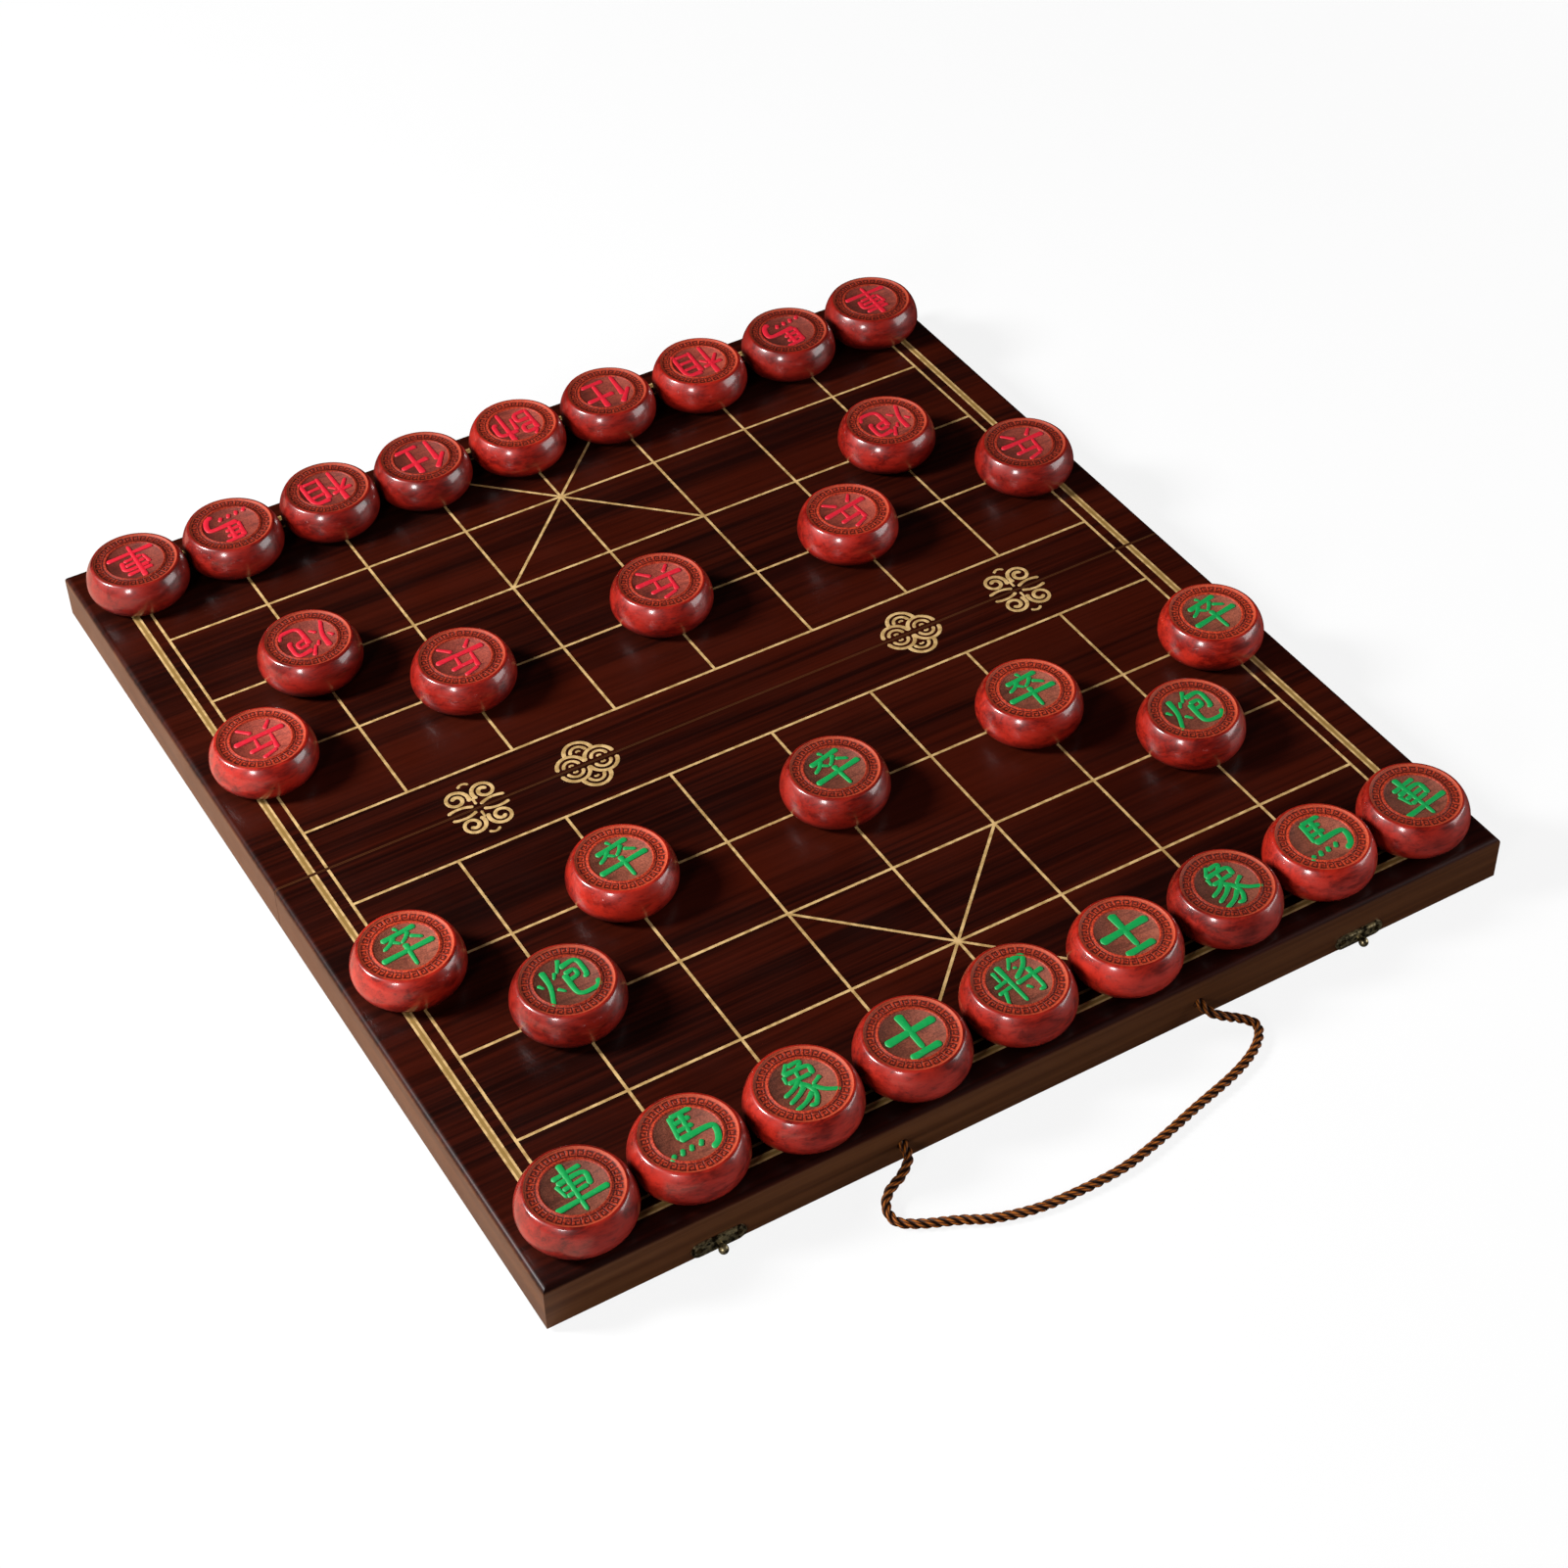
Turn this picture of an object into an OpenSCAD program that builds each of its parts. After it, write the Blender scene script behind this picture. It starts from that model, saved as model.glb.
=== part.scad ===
// Folding xiangqi box, opened flat with its chessmen set up
// Millimetres. X runs along the river and the seam, Y from the near edge to the far edge, Z up.
// Origin: on the table, under the middle of the seam.

/* [Board] */
// width of the board and of the closed box, along the seam
board_w = 435; // [420:1:450]
// depth of one half
half_d = 235; // [232:1:245]
// height of one half, from its rim to the playing face
half_h = 21; // [20:0.5:26]
// thickness of a playing panel
panel_t = 4; // [3:0.5:5]
// radius of the rounded outer edges of the playing faces
edge_r = 2.5; // [1:0.25:3]
// thickness of the rails round each tray
rail_t = 9; // [8:0.5:11]
// gap between the two halves along the seam
seam_gap = 0.3; // [0.2:0.1:0.5]
// gap between the two rims when the box is closed
closing_gap = 0.2; // [0.2:0.1:0.5]

/* [Gold lines] */
// distance between two inner upright lines
col_step = 49; // [47:0.5:50]
// width of the outer squares
outer_col_step = 47; // [45:0.5:48]
// distance between two cross lines, and width of the river
row_step = 48; // [46:0.5:48]
// width of a thin line
line_w = 1.25; // [0.8:0.05:2]
// distance from the outermost line to the middle of the border band
band_off = 6.6; // [6:0.1:8]
// width of the border band
band_w = 3.3; // [2:0.1:4]
// depth of the filled groove of every line
line_t = 0.2; // [0.1:0.05:0.4]
// gap in the border band on each side of the seam
band_seam_gap = 0.6; // [0.4:0.1:1.5]

/* [Chessmen] */
// largest diameter of a chessman
man_d = 45.8; // [40:0.1:46]
// height of a chessman
man_h = 18; // [14:0.5:20]
// height of the widest place
man_wide_z = 7.9; // [6:0.1:10]
// radius of the face that stands on the board
man_foot_r = 18; // [16:0.25:19]
// radius at which the side meets the rounded shoulder
man_rim_r = 20.5; // [20:0.25:21.5]
// radius of the rounding between the side and the top
man_shoulder_r = 1.6; // [1.5:0.1:3]
// outer radius of the carved band
man_band_r = 18.4; // [17:0.1:18.8]
// depth of the carved band below the rim
man_band_depth = 0.5; // [0.4:0.1:1]
// radius of the matte disc that carries the mark
man_disc_r = 13.3; // [11:0.1:14]
// depth of the disc below the carved band
man_disc_depth = 0.3; // [0.2:0.1:0.8]

/* [Hinges] */
// distance of each hinge from the middle
hinge_x = 120; // [90:1:150]
// length of a hinge
hinge_len = 34; // [28:1:44]
// radius of the barrel
barrel_r = 1.2; // [1.2:0.1:1.6]
// radius of the hinge pins and of the hasp pins
pin_r = 0.5; // [0.4:0.05:0.5]
// running clearance round a pin
pin_fit = 0.05; // [0.02:0.01:0.1]
// thickness of a leaf
leaf_t = 0.8; // [0.6:0.1:1]
// width of a leaf from the pin's axis
leaf_w = 7.6; // [7:0.1:8]

/* [Hasps] */
// distance of each hasp from the middle
hasp_x = 147; // [110:1:170]
// length of the keeper and of the hasp plate
plate_len = 23; // [21:0.5:27]
// height of the keeper's plate
keeper_h = 7; // [6.5:0.25:8]
// thickness of the plates
plate_t = 0.8; // [0.6:0.1:1]
// height of the knob's axis above the rim
knob_up = 2.5; // [2.3:0.1:3]
// diameter of the knob
knob_d = 4; // [3.5:0.1:4.2]
// how far the knob stands out of the rail
knob_out = 5.6; // [5:0.1:6]
// height of the hasp's pin above the rim
hasp_up = 5; // [4.6:0.1:5.4]
// length of the flap from its pin
flap_len = 11.2; // [11:0.1:12]
// angle between the flap and straight down, as it leans on the table
flap_lean = 56; // [55:0.5:60]

/* [Rope] */
// diameter of the rope
rope_d = 4; // [3:0.25:5]
// distance of each rope hole from the middle
rope_x = 68; // [50:1:90]
// height of the rope holes above the rim
rope_up = 8.5; // [7:0.25:11]
// radial clearance of the rope in its holes
rope_fit = 0.3; // [0.2:0.1:1]

/* [Hidden] */
axis_z = barrel_r;
rim_z = axis_z + closing_gap / 2;
top_z = rim_z + half_h;
under_z = top_z - panel_t;
half_w = board_w / 2;
face_y = half_d;
spine_y = seam_gap / 2;
eps = 0.01;
fn_fine = 64;
fn_small = 32;

// playing lines
line_cols = 9;
mid_col = 4;
rows_a_side = 5;
function col_x(c) = abs(c - mid_col) == mid_col
    ? sign(c - mid_col) * ((mid_col - 1) * col_step + outer_col_step)
    : (c - mid_col) * col_step;
function row_y(r) = (r + 0.5) * row_step;
grid_x = col_x(line_cols - 1);
grid_y = row_y(rows_a_side - 1);
palace_cols = 1;
palace_rows = 2;

// men: how far each stands off its crossing, as set up by hand
cannon_cols = [1, 7];
man_spread = -0.75;
man_shift = -0.5;
near_back_shift = 4;
far_back_shift = -8;
front_shift = -2;
near_back_hand = [[0.2, 0], [0.3, 0.4], [-0.4, -1.2], [-1.2, -1.2], [-0.6, 0.6],
    [0.4, 0], [0.4, 0.6], [-0.4, 2], [0.2, 1.2]];
near_cannon_hand = [[-1.8, 0.8], [1.8, 0.8]];
near_soldier_hand = [[0.2, 1.6], [-0.9, 0.3], [2, 0.7], [0.1, -1], [0, -1]];
far_back_hand = [[0, -1], [0.1, 0.2], [0, 1.4], [-1.7, -0.1], [-1.1, -0.5],
    [-1.2, -0.5], [-0.6, -2.4], [0.3, -3], [2, -1.8]];
far_cannon_hand = [[-3, -1.6], [1.6, -0.8]];
far_soldier_hand = [[0.4, -2.2], [-0.2, 0.4], [0.1, 0.2], [-0.8, -0.6], [0, -1.2]];
shoulder_x = man_rim_r - man_shoulder_r;
shoulder_z = man_h - man_shoulder_r;
low_dx = man_d / 2 - man_foot_r;
low_r = (low_dx * low_dx + man_wide_z * man_wide_z) / (2 * low_dx);
up_dx = man_d / 2 - man_rim_r;
up_dz = shoulder_z - man_wide_z;
up_r = (up_dx * up_dx + up_dz * up_dz) / (2 * up_dx);
man_band_z = man_h - man_band_depth;
man_disc_z = man_band_z - man_disc_depth;
disc_ridge_w = 0.6;
disc_ridge_h = 0.25;
man_foot_recess = 0.6;
man_foot_w = 4;

// hinges
hinge_clear = 0.3;
notch_r = barrel_r + hinge_clear;
knuckle_gap = 0.3;
near_knuckle = hinge_len / 3;
leaf_pocket_fit = 0.1;
hinge_screw_x = hinge_len / 4;
hinge_screw_y = 5;

// screws, all of one size
screw_r = 0.8;
screw_head_r = 1.5;
screw_head_h = 0.7;
screw_len = 6;
screw_fit = 0.05;
slot_w = 0.4;
slot_depth = 0.3;

// hasps
hasp_barrel_r = 1.3;
hasp_off = hasp_barrel_r + 0.3;
flap_t = 1;
pin_past_screw = 0.6;
flap_out = hasp_barrel_r - flap_t;
flap_tip_w = 8.4;
flap_tip_r = 2.4;
slot_clear = 0.35;
plate_screw_x = plate_len / 2 - 3.1;
knuckle_w = 3.2;
half_pin = plate_screw_x + pin_past_screw;
flap_root_w = 2 * (half_pin - knuckle_w - knuckle_gap);
strip_up = keeper_h - 1;
strip_r = 0.8;
strip_off = 0.6;
strip_len = plate_len - 8;
rib_r = 0.95;
rib_w = 0.7;
rib_step = 1.4;
neck_r = 1.3;
hasp_plate_h = 8.5;
plate_foot = 0.3;
hasp_screw_up = hasp_up + 4.6;
keeper_screw_up = keeper_h / 2 + plate_foot;

// rope: the middle line of the cord, from the left knot to the right knot
rope_r = rope_d / 2;
rope_z = rim_z + rope_up;
rope_sides = 10;
steps_a_leg = 2;
rope_in = 3.2;
knot_r = 4.2;
knot_gap = 0.3;
front = -face_y;
rope_lie = rope_r + 0.05;
rope_route = [
    [-rope_x, front + rail_t + rope_in, rope_z],
    [-rope_x, front + rail_t / 2, rope_z],
    [-rope_x, front - 1, rope_z],
    [-rope_x - 1.5, front - 6.5, rope_z - 0.7],
    [-rope_x - 7, front - 10.5, rope_z - 2.8],
    [-rope_x - 13.5, front - 12.5, rope_z - 5.6],
    [-rope_x - 18, front - 17.5, rope_lie + 0.6],
    [-rope_x - 18, front - 24.5, rope_lie],
    [-rope_x - 11, front - 30, rope_lie],
    [-rope_x + 2, front - 36, rope_lie],
    [-54.5, front - 42, rope_lie],
    [-38, front - 46.5, rope_lie],
    [-19, front - 47.8, rope_lie],
    [0, front - 47.2, rope_lie],
    [20, front - 43, rope_lie],
    [40, front - 37.5, rope_lie],
    [60, front - 32.3, rope_lie],
    [rope_x + 5, front - 27.3, rope_lie],
    [rope_x + 13.5, front - 21.5, rope_lie],
    [rope_x + 16.5, front - 16, rope_lie + 0.7],
    [rope_x + 12.5, front - 11.8, rope_z - 5.4],
    [rope_x + 6.5, front - 9.8, rope_z - 2.6],
    [rope_x + 1.5, front - 6.5, rope_z - 0.7],
    [rope_x, front - 1, rope_z],
    [rope_x, front + rail_t / 2, rope_z],
    [rope_x, front + rail_t + rope_in, rope_z]
];

// Shapes of one half, drawn for the far half and mirrored for the near one

// an edge profile: a strip of the panel's section with both upper corners rounded
module panel_section(width) {
    translate([-width / 2, 0]) square([width, panel_t - edge_r]);
    translate([-width / 2 + edge_r, 0]) square([width - 2 * edge_r, panel_t]);
    for (side = [-1, 1])
        translate([side * (width / 2 - edge_r), panel_t - edge_r]) circle(edge_r, $fn = fn_small);
}

// the panel alone: the rounded section along X meets the rounded section along Y in a mitre
module panel_blank() {
    translate([0, 0, under_z]) intersection() {
        rotate([90, 0, 0]) translate([0, 0, -half_d - eps])
            linear_extrude(half_d + 2 * eps) panel_section(board_w);
        translate([0, spine_y, 0]) rotate([90, 0, 90]) translate([0, 0, -half_w - eps])
            linear_extrude(board_w + 2 * eps) intersection() {
                panel_section(2 * (half_d - spine_y));
                square([half_d, panel_t]);
            }
    }
}

// a line from one point to another, as a flat strip
module strip(a, b, width) {
    run = b - a;
    translate(a) rotate(atan2(run[1], run[0]))
        translate([0, -width / 2]) square([norm(run), width]);
}

// grid, palace cross and border band of one half
module line_plan() {
    first_y = row_y(0);
    for (c = [0 : line_cols - 1])
        translate([col_x(c) - line_w / 2, first_y - line_w / 2])
            square([line_w, grid_y - first_y + line_w]);
    for (r = [0 : rows_a_side - 1])
        translate([-grid_x - line_w / 2, row_y(r) - line_w / 2])
            square([2 * grid_x + line_w, line_w]);
    for (side = [-1, 1]) {
        translate([side * grid_x - line_w / 2, spine_y + band_seam_gap])
            square([line_w, first_y]);
        strip([side * col_x(mid_col + palace_cols), row_y(rows_a_side - 1 - palace_rows)],
            [-side * col_x(mid_col + palace_cols), grid_y], line_w);
        translate([side * (grid_x + band_off) - band_w / 2, spine_y + band_seam_gap])
            square([band_w, grid_y + band_off + band_w / 2 - spine_y - band_seam_gap]);
    }
    translate([-grid_x - band_off - band_w / 2, grid_y + band_off - band_w / 2])
        square([2 * (grid_x + band_off) + band_w, band_w]);
}

module panel() {
    difference() {
        panel_blank();
        translate([0, 0, top_z - line_t]) linear_extrude(line_t + eps) line_plan();
    }
}

module line_work() {
    translate([0, 0, top_z - line_t]) linear_extrude(line_t) line_plan();
}

// plan of a rail that runs along X, mitred at both ends, outer face at y
module long_rail_plan(outer_y, inward) {
    polygon([
        [-half_w, outer_y], [half_w, outer_y],
        [half_w - rail_t, outer_y + inward * rail_t], [-half_w + rail_t, outer_y + inward * rail_t]
    ]);
}

module outer_rail() {
    translate([0, 0, rim_z]) linear_extrude(under_z - rim_z) long_rail_plan(face_y, -1);
}

module side_rail(side) {
    translate([0, 0, rim_z]) linear_extrude(under_z - rim_z) polygon([
        [side * half_w, spine_y], [side * half_w, face_y],
        [side * (half_w - rail_t), face_y - rail_t], [side * (half_w - rail_t), spine_y + rail_t]
    ]);
}

// Hinges

module along_x(from_x, len, r) {
    translate([from_x, 0, 0]) rotate([0, 90, 0]) cylinder(len, r, r, $fn = fn_small);
}

module leaf_outline(grow) {
    translate([-hinge_len / 2 - grow, 0]) square([hinge_len + 2 * grow, leaf_w + grow]);
}

// the notch round the barrel and the pocket for the leaf, both in the rim of a spine rail
module hinge_seat() {
    for (side = [-1, 1]) translate([side * hinge_x, 0, 0]) {
        translate([0, 0, axis_z])
            along_x(-hinge_len / 2 - hinge_clear, hinge_len + 2 * hinge_clear, notch_r);
        translate([0, 0, rim_z - eps])
            linear_extrude(leaf_t + eps) leaf_outline(leaf_pocket_fit);
        for (k = [-1, 1]) translate([k * hinge_screw_x, hinge_screw_y, rim_z])
            cylinder(screw_len + screw_fit, screw_r + screw_fit, screw_r + screw_fit, $fn = fn_small);
    }
}

module spine_rail() {
    difference() {
        translate([0, 0, rim_z]) linear_extrude(under_z - rim_z) long_rail_plan(spine_y, 1);
        hinge_seat();
    }
}

// a countersunk screw along Z, its head's face at z = 0 and its tip above
module screw() {
    difference() {
        union() {
            cylinder(screw_head_h, screw_head_r, screw_r, $fn = fn_small);
            cylinder(screw_len, screw_r, screw_r, $fn = fn_small);
        }
        translate([-screw_head_r - eps, -slot_w / 2, -eps])
            cube([2 * (screw_head_r + eps), slot_w, slot_depth + eps]);
    }
}

// room for a screw's head and shank in a plate, face at z = 0
module screw_room(plate) {
    head_room = screw_head_h * (screw_head_r + screw_fit - screw_r) / (screw_head_r - screw_r);
    translate([0, 0, -eps])
        cylinder(plate + 2 * eps, screw_r + screw_fit, screw_r + screw_fit, $fn = fn_small);
    cylinder(head_room, screw_head_r + screw_fit, screw_r, $fn = fn_small);
    translate([0, 0, -eps])
        cylinder(2 * eps, screw_head_r + screw_fit, screw_head_r + screw_fit, $fn = fn_small);
}

// a leaf on the far side; spans lists where its knuckles start and how long they are
module leaf(spans, cut_spans) {
    difference() {
        union() {
            translate([0, 0, rim_z]) linear_extrude(leaf_t) leaf_outline(0);
            for (s = spans) translate([0, 0, axis_z]) along_x(s[0], s[1], barrel_r);
        }
        for (s = cut_spans) translate([0, 0, axis_z]) along_x(s[0], s[1], notch_r);
        translate([0, 0, axis_z])
            along_x(-hinge_len / 2 - eps, hinge_len + 2 * eps, pin_r + pin_fit);
        for (k = [-1, 1]) translate([k * hinge_screw_x, hinge_screw_y, rim_z]) screw_room(leaf_t);
    }
}

outer_spans = [
    [-hinge_len / 2, near_knuckle - knuckle_gap / 2],
    [hinge_len / 2 - near_knuckle + knuckle_gap / 2, near_knuckle - knuckle_gap / 2]
];
middle_span = [[-hinge_len / 2 + near_knuckle + knuckle_gap / 2, hinge_len - 2 * near_knuckle - knuckle_gap]];
outer_room = [
    [-hinge_len / 2 - eps, near_knuckle + knuckle_gap / 2 + eps],
    [hinge_len / 2 - near_knuckle - knuckle_gap / 2, near_knuckle + knuckle_gap / 2 + eps]
];
middle_room = [[-hinge_len / 2 + near_knuckle - knuckle_gap / 2, hinge_len - 2 * near_knuckle + knuckle_gap]];

module near_leaf(side) {
    translate([side * hinge_x, 0, 0]) mirror([0, 1, 0]) leaf(outer_spans, middle_room);
}

module far_leaf(side) {
    translate([side * hinge_x, 0, 0]) leaf(middle_span, outer_room);
}

// Keepers and hasps, drawn for a rail whose face is the plane y = 0, outwards along +Y

module plate_outline(up, height, end_r) {
    translate([-plate_len / 2 + end_r, up]) square([plate_len - 2 * end_r, height]);
    for (side = [-1, 1]) translate([side * (plate_len / 2 - end_r), up + height / 2])
        circle(height / 2, $fn = fn_small);
}

// stands a plan drawn in X and Z on the rail's face
module on_face(thick) {
    rotate([90, 0, 0]) translate([0, 0, -thick]) linear_extrude(thick) children();
}

module out_of_face(from, len, r) {
    translate([0, from, 0]) rotate([-90, 0, 0]) cylinder(len, r, r, $fn = fn_small);
}

module face_screw_rooms(up) {
    for (k = [-1, 1]) translate([k * plate_screw_x, plate_t, up])
        rotate([90, 0, 0]) screw_room(plate_t);
}

module keeper() {
    difference() {
        union() {
            on_face(plate_t) plate_outline(plate_foot, keeper_h, keeper_h / 2);
            translate([0, strip_off, strip_up]) along_x(-strip_len / 2, strip_len, strip_r);
            for (x = [-strip_len / 2 : rib_step : strip_len / 2 - rib_w])
                translate([0, strip_off, strip_up]) along_x(x, rib_w, rib_r);
        }
        translate([-plate_len, -plate_len, -plate_len]) cube([2 * plate_len, plate_len, 2 * plate_len]);
        face_screw_rooms(keeper_screw_up);
    }
    translate([0, 0, knob_up]) {
        out_of_face(plate_t / 2, knob_out - knob_d / 2 - plate_t / 2, neck_r);
        translate([0, knob_out - knob_d / 2, 0]) sphere(knob_d / 2, $fn = fn_small);
    }
}

module knuckle_pair(r) {
    for (side = [-1, 1])
        along_x(side * (flap_root_w / 2 + knuckle_gap + knuckle_w / 2) - knuckle_w / 2, knuckle_w, r);
}

module hasp_plate() {
    difference() {
        union() {
            on_face(plate_t) difference() {
                plate_outline(hasp_up - plate_foot, hasp_plate_h, hasp_plate_h / 2);
                translate([-flap_root_w / 2 - knuckle_gap, hasp_up - hasp_plate_h])
                    square([flap_root_w + 2 * knuckle_gap, hasp_plate_h + hasp_barrel_r + knuckle_gap]);
            }
            translate([0, hasp_off, hasp_up]) knuckle_pair(hasp_barrel_r);
            for (side = [-1, 1])
                translate([side * (flap_root_w / 2 + knuckle_gap + knuckle_w / 2) - knuckle_w / 2, 0, hasp_up])
                    cube([knuckle_w, hasp_off, hasp_barrel_r]);
        }
        translate([0, hasp_off, hasp_up])
            along_x(-plate_len, 2 * plate_len, pin_r + pin_fit);
        face_screw_rooms(hasp_screw_up);
    }
}

// the flap as it hangs straight down from a pin on the X axis, its outer side along +Y
module hanging_flap() {
    slot_top = hasp_up + closing_gap + knob_up;
    slot_r = knob_d / 2 + slot_clear;
    difference() {
        union() {
            along_x(-flap_root_w / 2, flap_root_w, hasp_barrel_r);
            rotate([90, 0, 0]) translate([0, 0, -flap_out - flap_t]) linear_extrude(flap_t) {
                polygon([
                    [-flap_root_w / 2, 0], [flap_root_w / 2, 0],
                    [flap_tip_w / 2, -flap_len + flap_tip_r], [-flap_tip_w / 2, -flap_len + flap_tip_r]
                ]);
                for (side = [-1, 1])
                    translate([side * (flap_tip_w / 2 - flap_tip_r), -flap_len + flap_tip_r])
                        circle(flap_tip_r, $fn = fn_small);
                translate([-flap_tip_w / 2 + flap_tip_r, -flap_len])
                    square([flap_tip_w - 2 * flap_tip_r, flap_tip_r]);
            }
        }
        along_x(-flap_root_w, 2 * flap_root_w, pin_r + pin_fit);
        rotate([90, 0, 0]) translate([0, 0, -hasp_off - flap_t]) linear_extrude(2 * hasp_off + flap_t)
            for (k = [-1, 1]) translate([0, -slot_top - k * 0.2]) circle(slot_r, $fn = fn_small);
    }
}

module hasp_flap(side) {
    translate([side * hasp_x, face_y + hasp_off, rim_z + hasp_up])
        rotate([flap_lean, 0, 0]) hanging_flap();
}

module on_near_face(side) {
    translate([side * hasp_x, -face_y, rim_z]) mirror([0, 1, 0]) children();
}

module on_far_face(side) {
    translate([side * hasp_x, face_y, rim_z]) children();
}

// holes for the plate screws, in the rail behind
module face_screw_holes(up) {
    for (k = [-1, 1]) translate([k * plate_screw_x, 0, up]) rotate([90, 0, 0])
        translate([0, 0, -plate_t]) cylinder(screw_len + screw_fit, screw_r + screw_fit,
            screw_r + screw_fit, $fn = fn_small);
}

module face_screws(up) {
    for (k = [-1, 1]) translate([k * plate_screw_x, plate_t, up]) rotate([90, 0, 0]) screw();
}

module leaf_screws() {
    for (side = [-1, 1]) for (k = [-1, 1])
        translate([side * hinge_x + k * hinge_screw_x, hinge_screw_y, rim_z]) screw();
}

// Chessmen, turned on a lathe

// half section of the blank: two arcs for the bulging side and a rounded shoulder
module man_blank() {
    intersection() {
        translate([man_d / 2 - low_r, man_wide_z]) circle(low_r, $fn = fn_fine);
        translate([man_d / 2 - low_r, 0]) square([low_r, man_wide_z]);
    }
    intersection() {
        translate([man_d / 2 - up_r, man_wide_z]) circle(up_r, $fn = fn_fine);
        translate([0, man_wide_z]) square([man_d / 2, shoulder_z - man_wide_z]);
    }
    square([man_foot_r, shoulder_z]);
    intersection() {
        translate([shoulder_x, shoulder_z]) circle(man_shoulder_r, $fn = fn_fine);
        translate([shoulder_x, shoulder_z]) square(man_shoulder_r);
    }
    square([shoulder_x, man_h]);
}

// half section of a chessman: the carved band and the disc are sunk in the top
module man_section() {
    difference() {
        man_blank();
        translate([man_disc_r, man_band_z]) square([man_band_r - man_disc_r, man_h]);
        translate([man_disc_r - disc_ridge_w - eps, man_band_z + disc_ridge_h])
            square([disc_ridge_w + 2 * eps, man_h]);
        translate([-eps, man_disc_z]) square([man_disc_r - disc_ridge_w + eps, man_h]);
    }
}

module man_body() {
    difference() {
        rotate_extrude($fn = fn_fine) man_section();
        translate([0, 0, -eps]) cylinder(man_foot_recess + eps, man_foot_r - man_foot_w,
            man_foot_r - man_foot_w, $fn = fn_fine);
    }
}

// green men stand near, red men far; row counts from the near edge
module man_on(c, r, shift_y, hand) {
    row = r < rows_a_side ? -row_y(rows_a_side - 1 - r) : row_y(r - rows_a_side);
    column = col_x(c) + man_spread * (c - mid_col) + man_shift;
    translate([column + hand[0], row + shift_y + hand[1], top_z]) man_body();
}

module green_back(c) {
    color("firebrick") man_on(c, 0, near_back_shift, near_back_hand[c]);
}

module green_cannon(k) {
    color("firebrick") man_on(cannon_cols[k], 2, front_shift, near_cannon_hand[k]);
}

module green_soldier(k) {
    color("firebrick") man_on(2 * k, 3, front_shift, near_soldier_hand[k]);
}

module red_back(c) {
    color("brown") man_on(c, 9, far_back_shift, far_back_hand[c]);
}

module red_cannon(k) {
    color("brown") man_on(cannon_cols[k], 7, front_shift, far_cannon_hand[k]);
}

module red_soldier(k) {
    color("brown") man_on(2 * k, 6, front_shift, far_soldier_hand[k]);
}

// Rope

// Catmull-Rom spline between p1 and p2
function spline(p0, p1, p2, p3, t) =
    0.5 * (2 * p1 + (p2 - p0) * t + (2 * p0 - 5 * p1 + 4 * p2 - p3) * t * t
    + (3 * p1 - p0 - 3 * p2 + p3) * t * t * t);
function route_at(i) = rope_route[max(0, min(len(rope_route) - 1, i))];
rope_line = [
    for (i = [0 : len(rope_route) - 2]) for (s = [0 : steps_a_leg - 1])
        spline(route_at(i - 1), route_at(i), route_at(i + 1), route_at(i + 2), s / steps_a_leg),
    route_at(len(rope_route) - 1)
];
function unit(v) = v / norm(v);
function tangent(path, i) = unit(path[min(i + 1, len(path) - 1)] - path[max(i - 1, 0)]);
function ring(path, i, r, sides) =
    let (t = tangent(path, i), u = unit(cross([0, 0, 1], t)), v = cross(t, u))
    [for (k = [0 : sides - 1]) path[i] + r * (cos(360 * k / sides) * u + sin(360 * k / sides) * v)];

module tube(path, r, sides) {
    rings = len(path);
    points = [for (i = [0 : rings - 1]) for (p = ring(path, i, r, sides)) p];
    skin = [
        for (i = [0 : rings - 2]) for (k = [0 : sides - 1]) each [
            [i * sides + k, (i + 1) * sides + (k + 1) % sides, i * sides + (k + 1) % sides],
            [i * sides + k, (i + 1) * sides + k, (i + 1) * sides + (k + 1) % sides]
        ]
    ];
    start_cap = [[for (k = [0 : sides - 1]) k]];
    end_cap = [[for (k = [0 : sides - 1]) rings * sides - 1 - k]];
    polyhedron(points, concat(skin, start_cap, end_cap));
}

module rope_holes() {
    for (side = [-1, 1]) translate([side * rope_x, face_y + eps, rope_z]) rotate([90, 0, 0])
        cylinder(rail_t + 2 * eps, rope_r + rope_fit, rope_r + rope_fit, $fn = fn_small);
}

// The pieces

module near_panel() {
    color("sienna") mirror([0, 1, 0]) panel();
}

module far_panel() {
    color("sienna") panel();
}

module near_line_work() {
    color("gold") mirror([0, 1, 0]) line_work();
}

module far_line_work() {
    color("gold") line_work();
}

module near_front_rail() {
    color("saddlebrown") mirror([0, 1, 0]) difference() {
        outer_rail();
        rope_holes();
        for (side = [-1, 1]) translate([side * hasp_x, face_y, rim_z])
            face_screw_holes(keeper_screw_up);
    }
}

module near_left_rail() {
    color("saddlebrown") mirror([0, 1, 0]) side_rail(-1);
}

module near_right_rail() {
    color("saddlebrown") mirror([0, 1, 0]) side_rail(1);
}

module near_spine_rail() {
    color("saddlebrown") mirror([0, 1, 0]) spine_rail();
}

module far_back_rail() {
    color("saddlebrown") difference() {
        outer_rail();
        for (side = [-1, 1]) on_far_face(side) face_screw_holes(hasp_screw_up);
    }
}

module far_left_rail() {
    color("saddlebrown") side_rail(-1);
}

module far_right_rail() {
    color("saddlebrown") side_rail(1);
}

module far_spine_rail() {
    color("saddlebrown") spine_rail();
}

module left_hinge_near_leaf() {
    color("goldenrod") near_leaf(-1);
}

module left_hinge_far_leaf() {
    color("goldenrod") far_leaf(-1);
}

module right_hinge_near_leaf() {
    color("goldenrod") near_leaf(1);
}

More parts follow.
